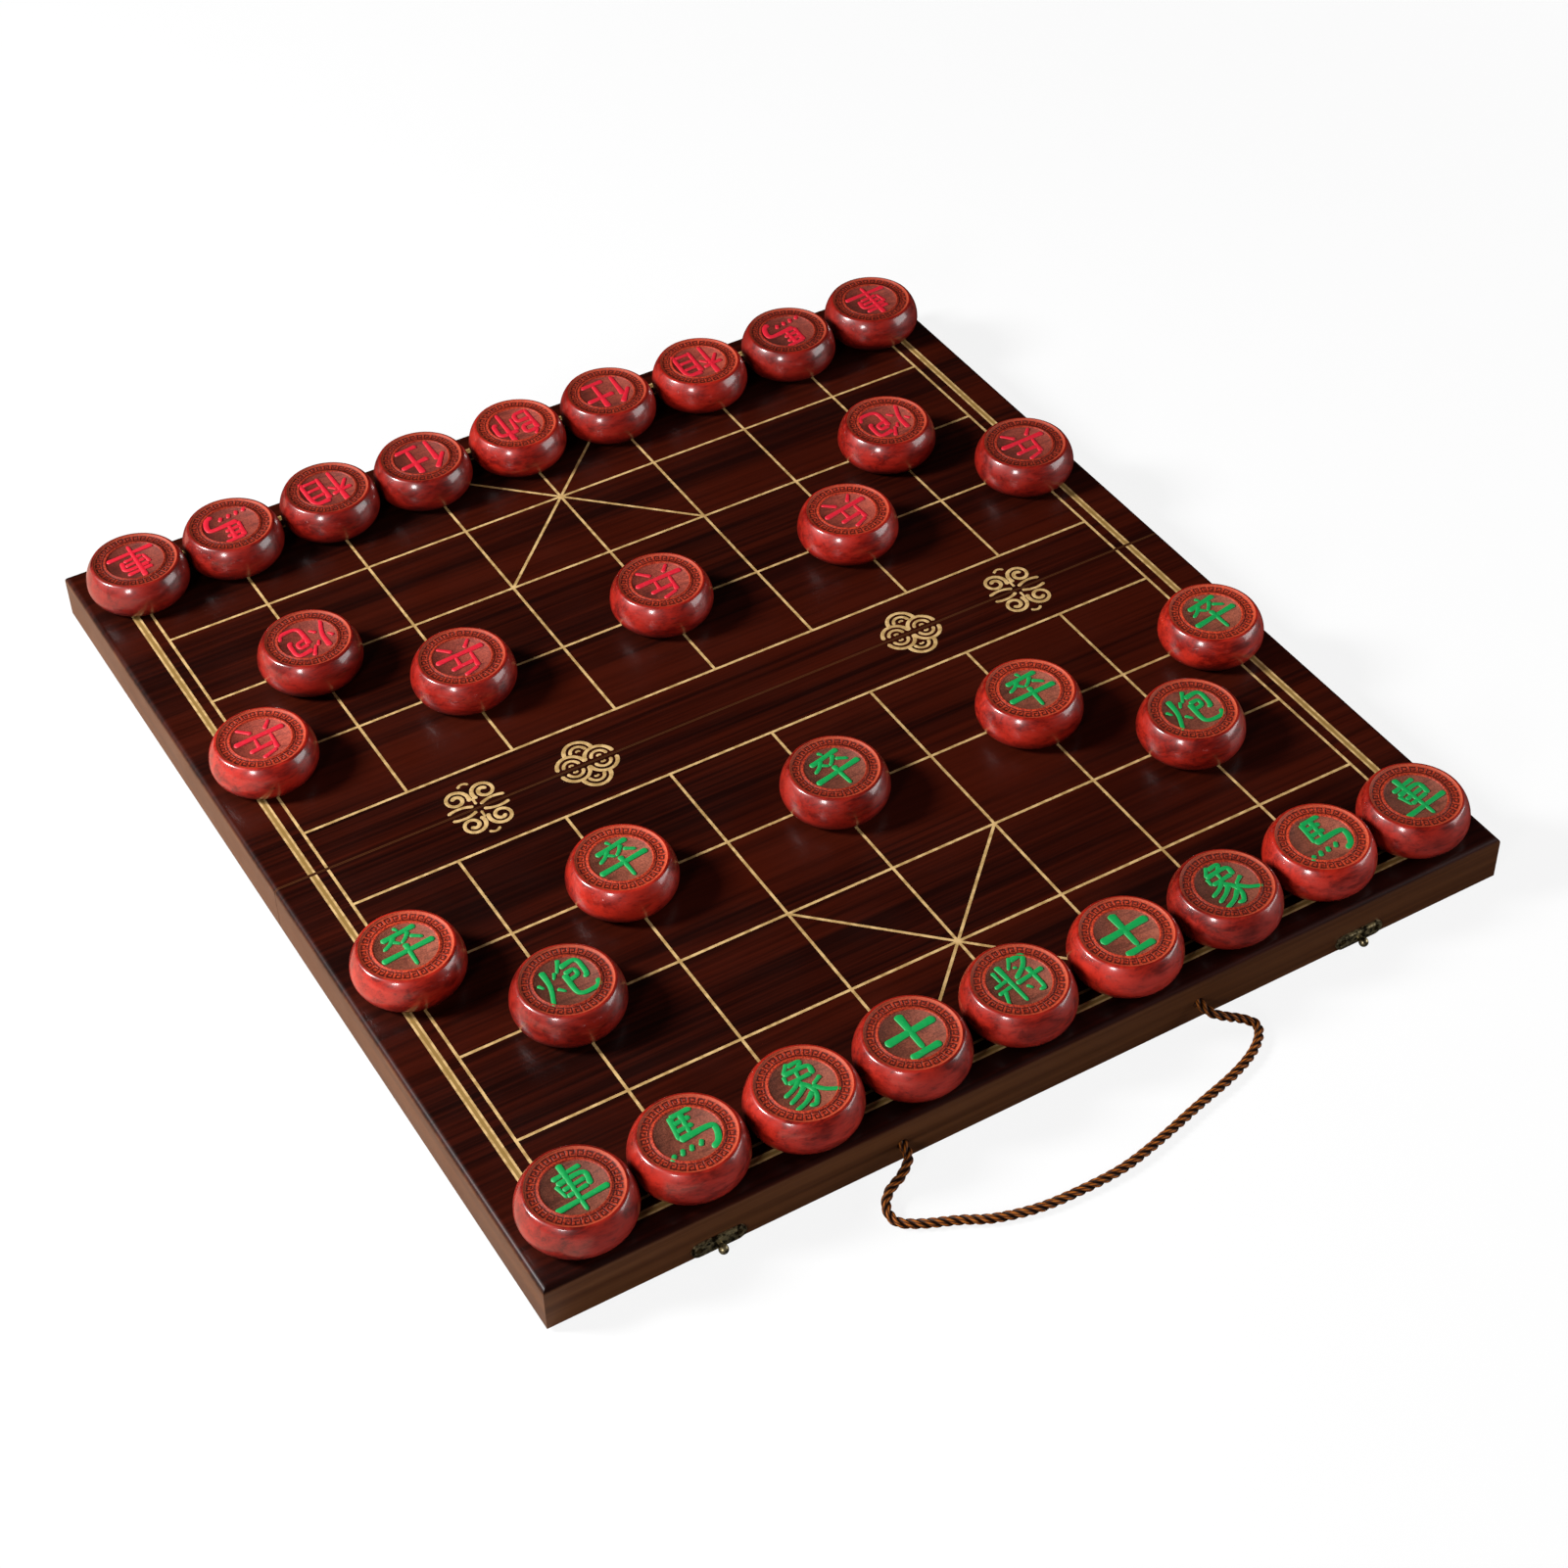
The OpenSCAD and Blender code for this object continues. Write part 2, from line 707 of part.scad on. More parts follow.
module right_hinge_far_leaf() {
    color("goldenrod") far_leaf(1);
}

module hinge_pins() {
    color("silver") for (side = [-1, 1]) translate([side * hinge_x, 0, axis_z])
        along_x(-hinge_len / 2, hinge_len, pin_r);
}

module near_screws() {
    color("gold") {
        mirror([0, 1, 0]) leaf_screws();
        for (side = [-1, 1]) on_near_face(side) face_screws(keeper_screw_up);
    }
}

module far_screws() {
    color("gold") {
        leaf_screws();
        for (side = [-1, 1]) on_far_face(side) face_screws(hasp_screw_up);
    }
}

module left_keeper() {
    color("darkkhaki") on_near_face(-1) keeper();
}

module right_keeper() {
    color("darkkhaki") on_near_face(1) keeper();
}

module left_hasp_plate() {
    color("darkkhaki") on_far_face(-1) hasp_plate();
}

module right_hasp_plate() {
    color("darkkhaki") on_far_face(1) hasp_plate();
}

module left_hasp_flap() {
    color("khaki") hasp_flap(-1);
}

module right_hasp_flap() {
    color("khaki") hasp_flap(1);
}

module hasp_pins() {
    color("silver") for (side = [-1, 1])
        translate([side * hasp_x, face_y + hasp_off, rim_z + hasp_up])
            along_x(-half_pin, 2 * half_pin, pin_r);
}

module carry_rope() {
    color("peru") {
        tube(rope_line, rope_r, rope_sides);
        for (side = [-1, 1])
            translate([side * rope_x, front + rail_t + knot_gap + knot_r, rope_z])
                sphere(knot_r, $fn = fn_small);
    }
}

module green_chariot_left() { green_back(0); }
module green_horse_left() { green_back(1); }
module green_elephant_left() { green_back(2); }
module green_adviser_left() { green_back(3); }
module green_general() { green_back(4); }
module green_adviser_right() { green_back(5); }
module green_elephant_right() { green_back(6); }
module green_horse_right() { green_back(7); }
module green_chariot_right() { green_back(8); }
module green_cannon_left() { green_cannon(0); }
module green_cannon_right() { green_cannon(1); }
module green_soldier_a() { green_soldier(0); }
module green_soldier_b() { green_soldier(1); }
module green_soldier_c() { green_soldier(2); }
module green_soldier_d() { green_soldier(3); }
module green_soldier_e() { green_soldier(4); }
module red_chariot_left() { red_back(0); }
module red_horse_left() { red_back(1); }
module red_elephant_left() { red_back(2); }
module red_adviser_left() { red_back(3); }
module red_general() { red_back(4); }
module red_adviser_right() { red_back(5); }
module red_elephant_right() { red_back(6); }
module red_horse_right() { red_back(7); }
module red_chariot_right() { red_back(8); }
module red_cannon_left() { red_cannon(0); }
module red_cannon_right() { red_cannon(1); }
module red_soldier_a() { red_soldier(0); }
module red_soldier_b() { red_soldier(1); }
module red_soldier_c() { red_soldier(2); }
module red_soldier_d() { red_soldier(3); }
module red_soldier_e() { red_soldier(4); }

near_panel();
near_front_rail();
near_left_rail();
near_right_rail();
near_spine_rail();
near_line_work();
far_panel();
far_back_rail();
far_left_rail();
far_right_rail();
far_spine_rail();
far_line_work();
left_hinge_near_leaf();
left_hinge_far_leaf();
right_hinge_near_leaf();
right_hinge_far_leaf();
hinge_pins();
near_screws();
far_screws();
left_keeper();
right_keeper();
left_hasp_plate();
right_hasp_plate();
left_hasp_flap();
right_hasp_flap();
hasp_pins();
carry_rope();
green_chariot_left();
green_horse_left();
green_elephant_left();
green_adviser_left();
green_general();
green_adviser_right();
green_elephant_right();
green_horse_right();
green_chariot_right();
green_cannon_left();
green_cannon_right();
green_soldier_a();
green_soldier_b();
green_soldier_c();
green_soldier_d();
green_soldier_e();
red_chariot_left();
red_horse_left();
red_elephant_left();
red_adviser_left();
red_general();
red_adviser_right();
red_elephant_right();
red_horse_right();
red_chariot_right();
red_cannon_left();
red_cannon_right();
red_soldier_a();
red_soldier_b();
red_soldier_c();
red_soldier_d();
red_soldier_e();
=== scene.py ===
import math

import bpy
import numpy as np
from mathutils import Matrix, Vector


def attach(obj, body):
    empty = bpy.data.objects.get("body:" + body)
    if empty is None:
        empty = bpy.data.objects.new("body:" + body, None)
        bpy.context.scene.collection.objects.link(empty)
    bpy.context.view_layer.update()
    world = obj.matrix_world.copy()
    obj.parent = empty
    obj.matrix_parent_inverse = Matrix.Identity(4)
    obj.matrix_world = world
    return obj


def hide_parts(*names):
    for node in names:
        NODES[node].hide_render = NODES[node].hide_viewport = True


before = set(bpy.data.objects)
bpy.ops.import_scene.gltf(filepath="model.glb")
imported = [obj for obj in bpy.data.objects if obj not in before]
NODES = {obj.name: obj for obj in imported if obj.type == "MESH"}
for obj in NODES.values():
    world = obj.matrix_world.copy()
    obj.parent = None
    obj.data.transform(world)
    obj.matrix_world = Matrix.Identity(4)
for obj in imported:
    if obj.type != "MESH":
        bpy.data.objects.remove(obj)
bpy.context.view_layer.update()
MM = 0.001

# Places and sizes shared with part.scad, in millimetres
TOP_Z = 22.3
HALF_W = 217.5
HALF_D = 235.0
PANEL_T = 4.0
COL_STEP = 49.0
OUTER_COL_STEP = 47.0
ROW_STEP = 48.0
GRID_X = 3 * COL_STEP + OUTER_COL_STEP
GRID_Y = 4.5 * ROW_STEP
BAND_OFF = 6.6
MAN_D = 45.8
MAN_H = 18.0
MAN_WIDE_Z = 7.9
MAN_FOOT_R = 18.0
SIDE_TILT = math.radians(36)
SHOULDER_R = 1.6
BAND_R = 18.4
BAND_Z = 17.5
DISC_Z = 17.2
DISC_R = 13.3
ROPE_R = 2.0
ROPE_X = 68.0
ROPE_Z = 9.8

# Camera

CAM_AT = (-462.03, -847.38, 871.89)
CAM_RIGHT = (0.859965, -0.509949, -0.020311)
CAM_DOWN = (-0.360534, -0.578864, -0.731390)
CAM_AHEAD = (0.361214, 0.636293, -0.681657)
FOCAL_PX = 3072.68
FRAME_PX = 1601
SENSOR = 36.0

camera_data = bpy.data.cameras.new("photo_camera")
camera_data.sensor_width = SENSOR
camera_data.lens = FOCAL_PX / FRAME_PX * SENSOR
camera_data.clip_start = 0.05
camera_data.clip_end = 60
camera = bpy.data.objects.new("photo_camera", camera_data)
camera.matrix_world = Matrix(
    [[CAM_RIGHT[k], -CAM_DOWN[k], -CAM_AHEAD[k], CAM_AT[k] * MM] for k in range(3)] + [[0, 0, 0, 1]]
)
bpy.context.scene.collection.objects.link(camera)
bpy.context.scene.camera = camera


# Meshes


def lattice(rows, cols):
    """Quads of a lattice that is closed round its columns; its point (i, j) is number i*cols + j. With j
    going round and i going along, a quad's normal is around x along, which points out of a tube."""
    i, j = np.meshgrid(np.arange(rows - 1), np.arange(cols), indexing="ij")
    j2 = (j + 1) % cols
    corners = [i * cols + j, i * cols + j2, (i + 1) * cols + j2, (i + 1) * cols + j]
    return np.stack(corners, -1).reshape(-1, 4)


def lattice_uv(quads, cols, repeats, v_of_row):
    """UVs at each quad's corners: u is the share of the way round times repeats, and runs on past the
    seam; v is the row's own value."""
    i, j = quads[:, 0] // cols, quads[:, 0] % cols
    corners = [(i, j), (i, j + 1), (i + 1, j + 1), (i + 1, j)]
    return np.stack(
        [np.stack([column / cols * repeats, v_of_row[row]], 1) for row, column in corners], 1
    )


class Skin:
    """Collects points, faces, material numbers and UVs of one piece."""

    def __init__(self):
        self.points, self.faces, self.slots, self.uvs, self.count = [], [], [], [], 0

    def add(self, points, quads, slots=0, uv=None):
        """points are (n, 3) in millimetres; slots is one number or one per quad; uv gives a (u, v) per
        corner of each quad. Returns the number of the first point."""
        first = self.count
        points = np.asarray(points, float).reshape(-1, 3)
        self.points.append(points)
        self.faces += (quads + first).tolist()
        self.slots += np.broadcast_to(slots, len(quads)).tolist()
        self.uvs += [(0.0, 0.0)] * (4 * len(quads)) if uv is None else uv.reshape(-1, 2).tolist()
        self.count += len(points)
        return first

    def close(self, first, rows, cols, slots=(0, 0), uv=(0.0, 0.0)):
        """Two flat caps over the first and the last row of a lattice whose first point is given."""
        last = first + (rows - 1) * cols
        rings = (list(range(first, first + cols))[::-1], list(range(last, last + cols)))
        for ring, slot in zip(rings, slots):
            self.faces.append(ring)
            self.slots.append(slot)
            self.uvs += [uv] * cols

    def build(self, name, body, materials, stands_for=()):
        """Makes the mesh object, gives it its materials, puts it on its body and hides what it stands for.
        """
        mesh = bpy.data.meshes.new(name)
        points = np.concatenate(self.points) * MM
        mesh.from_pydata(points.tolist(), [], self.faces)
        mesh.polygons.foreach_set("material_index", self.slots)
        mesh.polygons.foreach_set("use_smooth", [True] * len(self.faces))
        layer = mesh.uv_layers.new(name="UVMap")
        layer.data.foreach_set("uv", np.array(self.uvs, np.float32).ravel())
        mesh.update()
        thing = bpy.data.objects.new(name, mesh)
        bpy.context.scene.collection.objects.link(thing)
        for material in materials:
            mesh.materials.append(material)
        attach(thing, body)
        if stands_for:
            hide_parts(*stands_for)
        return thing


def unit(v):
    """Vectors of length one: v / |v|."""
    return v / np.maximum(np.linalg.norm(v, axis=-1, keepdims=True), 1e-12)


def spline(route, per_leg):
    """Smooth cubic line through the route's points: for t in 0..1 between p1 and p2,
    (2 p1 + (p2-p0) t + (2 p0 - 5 p1 + 4 p2 - p3) t^2 + (3 p1 - p0 - 3 p2 + p3) t^3) / 2."""
    route = np.asarray(route, float)
    ends = np.vstack([route[:1], route, route[-1:]])
    t = np.arange(per_leg)[:, None] / per_leg
    legs = []
    for k in range(len(route) - 1):
        p0, p1, p2, p3 = ends[k : k + 4]
        legs.append(
            0.5 * (2 * p1 + (p2 - p0) * t + (2 * p0 - 5 * p1 + 4 * p2 - p3) * t**2
                   + (3 * p1 - p0 - 3 * p2 + p3) * t**3)
        )
    return np.vstack(legs + [route[-1:]])


def run_along(line):
    """Length along a polyline from its first point to each point."""
    return np.concatenate([[0], np.cumsum(np.linalg.norm(np.diff(line, axis=0), axis=1))])


def resample(line, step):
    """Points at equal arc length along a polyline, by linear interpolation over the length."""
    run = run_along(line)
    n = max(int(round(run[-1] / step)), 2)
    at = np.linspace(0, run[-1], n + 1)
    return np.stack([np.interp(at, run, line[:, k]) for k in range(line.shape[1])], 1), at


def sides_along(line):
    """Two side vectors u, v at each point; u is carried on from point to point by removing its part
    along the new tangent t (parallel transport), and v = t x u."""
    t = unit(np.gradient(line, axis=0))
    u = np.zeros_like(t)
    u[0] = unit(np.cross([0.0, 0.0, 1.0], t[0]))
    for k in range(1, len(t)):
        u[k] = unit(u[k - 1] - np.dot(u[k - 1], t[k]) * t[k])
    return u, np.cross(t, u)


def tube(skin, line, radius, sides, out):
    """Sweeps a circle: p = c + r (cos a u + sin a v), u being out without its part along the line, and a
    going round from it; closed by two flat caps. UV: u round, v the length in millimetres."""
    t = unit(np.gradient(line, axis=0))
    u = unit(out - (out * t).sum(1, keepdims=True) * t)
    v = np.cross(t, u)
    a = np.arange(sides) / sides * 2 * math.pi
    ring = np.cos(a)[None, :, None] * u[:, None] + np.sin(a)[None, :, None] * v[:, None]
    quads = lattice(len(line), sides)
    uv = lattice_uv(quads, sides, 1, run_along(line))
    first = skin.add(line[:, None] + radius * ring, quads, 0, uv)
    skin.close(first, len(line), sides, uv=(0.5, 0.0))


# Shader helpers


class Sock:
    """A shader value with arithmetic; every operation adds one Math node."""

    def __init__(self, mat, socket):
        self.mat, self.socket = mat, socket

    def __add__(self, o):
        return self.mat.math("ADD", self, o)

    __radd__ = __add__

    def __sub__(self, o):
        return self.mat.math("SUBTRACT", self, o)

    def __rsub__(self, o):
        return self.mat.math("SUBTRACT", o, self)

    def __mul__(self, o):
        return self.mat.math("MULTIPLY", self, o)

    __rmul__ = __mul__

    def __pow__(self, o):
        return self.mat.math("POWER", self, o)

    def __lt__(self, o):
        return self.mat.math("LESS_THAN", self, o)

    def abs(self):
        return self.mat.math("ABSOLUTE", self)

    def frac(self):
        return self.mat.math("FRACT", self)

    def min(self, o):
        return self.mat.math("MINIMUM", self, o)

    def max(self, o):
        return self.mat.math("MAXIMUM", self, o)


class Mat:
    """A node material built by methods; colours are linear RGB triples."""

    def __init__(self, name):
        self.material = bpy.data.materials.new(name)
        self.material.use_nodes = True
        self.tree = self.material.node_tree
        self.shader = self.tree.nodes["Principled BSDF"]
        self.out = self.tree.nodes["Material Output"]
        self.coord = self.node("ShaderNodeTexCoord")

    def put(self, target, value):
        """Links a shader value to a socket, or sets a constant on it."""
        if isinstance(value, Sock):
            self.tree.links.new(value.socket, target)
        elif value is not None:
            if target.type == "RGBA" and len(value) == 3:
                value = (*value, 1)
            target.default_value = value

    def node(self, kind, settings=None, inputs=None):
        """Any node: its type, its settings, and the values or links of its sockets."""
        made = self.tree.nodes.new(kind)
        for key, value in (settings or {}).items():
            setattr(made, key, value)
        for key, value in (inputs or {}).items():
            self.put(made.inputs[key], value)
        return made

    def math(self, op, a, b=None):
        made = self.node("ShaderNodeMath", {"operation": op}, {0: a} if b is None else {0: a, 1: b})
        return Sock(self, made.outputs[0])

    def mix(self, share, a, b, blend="MIX"):
        """Colour a (1 - share) + b share, or another blend."""
        made = self.node("ShaderNodeMix", {"data_type": "RGBA", "blend_type": blend, "clamp_factor": True})
        self.put(made.inputs[0], share)
        self.put(made.inputs[6], a)
        self.put(made.inputs[7], b)
        return Sock(self, made.outputs[2])

    def ramp(self, value, low, high, to_low=0.0, to_high=1.0):
        """Linear from to_low at low to to_high at high, clamped, with a smooth step."""
        made = self.node(
            "ShaderNodeMapRange",
            {"interpolation_type": "SMOOTHSTEP"},
            {0: value, 1: low, 2: high, 3: to_low, 4: to_high},
        )
        return Sock(self, made.outputs[0])

    def where(self, source="Object", scale=(1, 1, 1), turn=(0, 0, 0)):
        """Coordinates scaled and turned, for a pattern to be read at."""
        made = self.node("ShaderNodeMapping", None, {"Scale": scale, "Rotation": turn})
        self.tree.links.new(self.coord.outputs[source], made.inputs["Vector"])
        return Sock(self, made.outputs[0])

    def axes(self, source="Object"):
        """The three coordinates as values."""
        made = self.node("ShaderNodeSeparateXYZ")
        self.tree.links.new(self.coord.outputs[source], made.inputs[0])
        return [Sock(self, made.outputs[k]) for k in range(3)]

    def noise(self, vector, scale, detail=4.0, rough=0.55, warp=0.0):
        made = self.node(
            "ShaderNodeTexNoise",
            None,
            {"Vector": vector, "Scale": scale, "Detail": detail, "Roughness": rough, "Distortion": warp},
        )
        return Sock(self, made.outputs[0])

    def bump(self, height, strength, distance_mm):
        made = self.node(
            "ShaderNodeBump", None, {"Height": height, "Strength": strength, "Distance": distance_mm * MM}
        )
        return Sock(self, made.outputs[0])

    def finish(self, **values):
        """Sets the shader's sockets, named with _ for a space, and returns the material."""
        for key, value in values.items():
            self.put(self.shader.inputs[key.replace("_", " ")], value)
        return self.material


def srgb(text):
    """Linear RGB of a #rrggbb colour: ((c + 0.055) / 1.055)^2.4, or c / 12.92 below 0.04045."""
    parts = [int(text[k : k + 2], 16) / 255 for k in (1, 3, 5)]
    return tuple(c / 12.92 if c <= 0.04045 else ((c + 0.055) / 1.055) ** 2.4 for c in parts)


# Materials


def darker(colour, share):
    """The colour times that share, channel by channel."""
    return tuple(c * share for c in colour)


def grain(mat, across):
    """Wood streaks along X, or along Y: noise read at coordinates squeezed that way, in three widths."""

    def way(along, wide):
        return (wide, along, wide) if across else (along, wide, wide)

    broad = mat.noise(mat.where(scale=way(2.2, 38)), 1.0, 3, 0.5, 0.6)
    streak = mat.noise(mat.where(scale=way(6, 420)), 1.0, 4, 0.65, 0.2)
    pore = mat.noise(mat.where(scale=way(45, 2600)), 1.0, 2, 0.6)
    return broad, streak, pore


def board_wood(name, dark, light, side_sheen_dark, side_sheen_light, across=False):
    """Playing face: dark lacquered wood. Below the rounded edge the same wood gets lighter, browner
    tones, which are painted sheen.
    """
    m = Mat(name)
    broad, streak, pore = grain(m, across)
    tone = m.ramp(broad * 0.55 + streak * 0.45, 0.36, 0.64)
    top = m.mix(tone, dark, light)
    top = m.mix(m.ramp(pore, 0.58, 0.72) * 0.5, top, darker(dark, 0.35))
    # Painted sheen: below the rounded edge the wood takes lighter, browner tones than the top
    side = m.mix(tone * 0.7 + 0.15, side_sheen_dark, side_sheen_light)
    side = m.mix(m.ramp(pore, 0.6, 0.74) * 0.25, side, darker(side_sheen_dark, 0.5))
    _, y, z = m.axes()
    upper = m.ramp(z, (TOP_Z - 2.0) * MM, (TOP_Z - 0.9) * MM)
    joint = m.ramp((z - (TOP_Z - PANEL_T) * MM).abs(), 0.05 * MM, 0.3 * MM, 1.0, 0.0)
    colour = m.mix(upper, side, top)
    colour = m.mix(joint * 0.3, colour, darker(side_sheen_dark, 0.3))
    # Painted sheen: along the seam the top is mixed towards the lighter side tone
    seam = m.ramp(y.abs(), 0.25 * MM, 0.7 * MM, 0.55, 0.0) * upper
    colour = m.mix(seam, colour, side_sheen_light)
    scuff = m.noise(m.where(scale=(30, 30, 30)), 1.0, 5, 0.6)
    return m.finish(
        Base_Color=colour,
        Roughness=m.ramp(scuff + streak * 0.4, 0.45, 0.95, 0.36, 0.46),
        Normal=m.bump(pore * 0.6 + streak * 0.8 + broad, 0.22, 0.12),
        Specular_IOR_Level=0.15,
        Coat_Weight=0.14,
        Coat_Roughness=0.2,
    )


def gold_line():
    """Gold lacquer filling; across the border band the edges are lighter than the core."""
    m = Mat("gold_lacquer")
    x, y, _ = m.axes()
    off_x = (x.abs() - (GRID_X + BAND_OFF) * MM).abs()
    off_y = (y.abs() - (GRID_Y + BAND_OFF) * MM).abs()
    inside_x = x.abs() < (GRID_X + BAND_OFF + 1) * MM
    core = m.ramp(off_x.min(off_y * inside_x + (1 - inside_x)), 0.55 * MM, 0.85 * MM, 1.0, 0.0)
    wear = m.noise(m.where(), 260, 4, 0.6)
    tone = m.mix(m.ramp(wear, 0.35, 0.65), srgb("#b08d57"), srgb("#dab67c"))
    tone = m.mix(core, tone, srgb("#94743e"))
    return m.finish(
        Base_Color=tone,
        Metallic=0.15,
        Roughness=m.ramp(wear, 0.3, 0.7, 0.38, 0.55),
        Normal=m.bump(wear, 0.2, 0.05),
    )


def piece_tint(m, colour, low=0.7, high=1.25):
    """Some men are darker and some lighter: each carries its own number 0 to 1 in the attribute."""
    read = m.node("ShaderNodeAttribute", {"attribute_type": "GEOMETRY", "attribute_name": "man_shade"})
    shade = Sock(m, read.outputs["Fac"]) * (high - low) + low
    made = m.node("ShaderNodeCombineXYZ", None, {0: shade, 1: shade, 2: shade})
    return m.mix(1.0, colour, Sock(m, made.outputs[0]), "MULTIPLY")


def man_wood(name, dark, light):
    """Polished rosewood: blotches and streaks from noise squeezed along one slanted direction, and
    painted shade that darkens it towards the foot."""
    m = Mat(name)
    blotch = m.noise(m.where(scale=(45, 90, 110), turn=(0.1, 0.15, 0.5)), 1.0, 4, 0.6, 0.8)
    flow = m.noise(m.where(scale=(60, 260, 330), turn=(0.1, 0.15, 0.5)), 1.0, 4, 0.65, 1.0)
    fine = m.noise(m.where(scale=(260, 1300, 1500), turn=(0.1, 0.15, 0.5)), 1.0, 3, 0.6)
    _, _, z = m.axes()
    tone = m.ramp(blotch * 0.42 + flow * 0.36 + fine * 0.22, 0.37, 0.6)
    colour = piece_tint(m, m.mix(tone, dark, light))
    colour = m.mix(m.ramp(fine * 0.6 + flow * 0.4, 0.52, 0.68) * 0.4, colour, darker(dark, 0.6))
    # Painted shade: the lower side is darkened towards the foot
    foot = m.ramp(z, (TOP_Z - 1) * MM, (TOP_Z + 9) * MM, 0.7, 0.0)
    colour = m.mix(foot, colour, darker(dark, 0.3))
    return m.finish(
        Base_Color=colour,
        Roughness=m.ramp(blotch, 0.3, 0.7, 0.34, 0.46),
        Normal=m.bump(fine, 0.12, 0.04),
        Specular_IOR_Level=0.4,
        Coat_Weight=0.8,
        Coat_Roughness=0.15,
    )


# The fret's sunk lines in one repeat, as boxes x0, x1, y0, y1
FRET_BOXES = (
    (0.00, 0.92, 0.06, 0.20), (0.78, 0.92, 0.06, 0.94), (0.22, 0.92, 0.80, 0.94),
    (0.22, 0.36, 0.36, 0.94), (0.22, 0.64, 0.36, 0.50),
)


def man_band(name, dark, light, cut, rim):
    """Carved key fret round the top. UV: u counts the fret's repeats, v runs across the band. The
    sunk lines are a union of boxes in the fraction of u and in v; their dark colour is painted shade."""
    m = Mat(name)
    u, v, _ = m.axes(source="UV")
    wobble = m.noise(m.where(), 900, 3, 0.6)
    s = (u + (wobble - 0.5) * 0.14).frac()
    t = (v - 0.1) * 1.38 + (wobble - 0.5) * 0.12
    line = None
    for x0, x1, y0, y1 in FRET_BOXES:
        off_x = (s - (x0 + x1) / 2).abs() - (x1 - x0) / 2
        off_y = (t - (y0 + y1) / 2).abs() - (y1 - y0) / 2
        away = off_x.max(off_y)
        line = away if line is None else line.min(away)
    sunk = m.ramp(line, -0.03, 0.06, 1.0, 0.0)
    sand = m.noise(m.where(), 1200, 4, 0.7)
    colour = piece_tint(m, m.mix(m.ramp(sand, 0.4, 0.6), dark, light))
    colour = m.mix(m.ramp(v, 0.8, 0.9) * 0.5, colour, rim)
    # Painted shade: the fret's sunk lines are darkened with the cut colour
    colour = m.mix(sunk * 0.85, colour, cut)
    return m.finish(
        Base_Color=colour,
        Roughness=0.55,
        Specular_IOR_Level=0.25,
        Normal=m.bump(sand * 0.25 - sunk, 0.7, 0.25),
    )


def man_disc(name, dark, light):
    """Matte sand-blasted disc that carries the mark."""
    m = Mat(name)
    sand = m.noise(m.where(), 1500, 5, 0.7)
    patch = m.noise(m.where(), 240, 3, 0.5)
    colour = m.mix(m.ramp(sand * 0.7 + patch * 0.3, 0.34, 0.66), dark, light)
    streak = m.noise(m.where(scale=(90, 520, 520), turn=(0, 0, 0.5)), 1.0, 3, 0.6)
    colour = m.mix(m.ramp(streak, 0.52, 0.68) * 0.5, colour, darker(dark, 0.45))
    return m.finish(
        Base_Color=piece_tint(m, colour, 0.7, 1.35),
        Roughness=0.7,
        Specular_IOR_Level=0.3,
        Normal=m.bump(sand, 0.7, 0.25),
    )


def paint(name, colour, edge):
    """Thick satin paint on the raised mark, a little paler where it is thin."""
    m = Mat(name)
    flow = m.noise(m.where(), 700, 3, 0.5)
    return m.finish(
        Base_Color=m.mix(m.ramp(flow, 0.62, 0.8) * 0.5, colour, edge),
        Roughness=m.ramp(flow, 0.3, 0.7, 0.45, 0.6),
        Normal=m.bump(flow, 0.15, 0.08),
    )


def metal(name, dark, light, rough_low, rough_high, shine=1.0):
    """Cast or rolled metal: patina from noise, and fine scratches in the roughness."""
    m = Mat(name)
    patina = m.noise(m.where(), 420, 5, 0.6)
    scratch = m.noise(m.where(scale=(400, 3000, 3000)), 1.0, 2, 0.5)
    colour = m.mix(m.ramp(patina, 0.4, 0.62), dark, light)
    return m.finish(
        Base_Color=colour,
        Metallic=shine,
        Roughness=m.ramp(patina + scratch * 0.3, 0.4, 0.9, rough_low, rough_high),
        Normal=m.bump(patina * 0.7 + scratch * 0.3, 0.25, 0.05),
    )


def rope_yarn():
    """Yarn of a laid rope: fine twisted fibres, read along the strand (v, mm) and round it (u), with
    painted shade on each strand's inner side, in the grooves between strands.
    """
    m = Mat("rope_yarn")
    u, v, _ = m.axes(source="UV")
    turn = (u * 5.0 + v * 0.55).frac()
    thread = (turn - 0.5).abs() * 2.0
    hair = m.noise(m.where("UV", (26, 7, 1)), 1.0, 4, 0.7)
    worn = m.noise(m.where(), 160, 3, 0.5)
    tone = m.mix(m.ramp(hair * 0.6 + thread * 0.4, 0.3, 0.75), srgb("#3a1402"), srgb("#b8661a"))
    tone = m.mix(m.ramp(worn, 0.5, 0.75) * 0.3, tone, srgb("#b87232"))
    # Painted shade: each strand is darkened on its side towards the rope's middle
    tone = m.mix(m.ramp((u - 0.5).abs(), 0.28, 0.47, 0.97, 0.0), tone, srgb("#1c0800"))
    return m.finish(
        Base_Color=tone,
        Roughness=0.6,
        Specular_IOR_Level=0.2,
        Normal=m.bump(thread * 0.6 + hair * 0.4, 0.5, 0.12),
    )
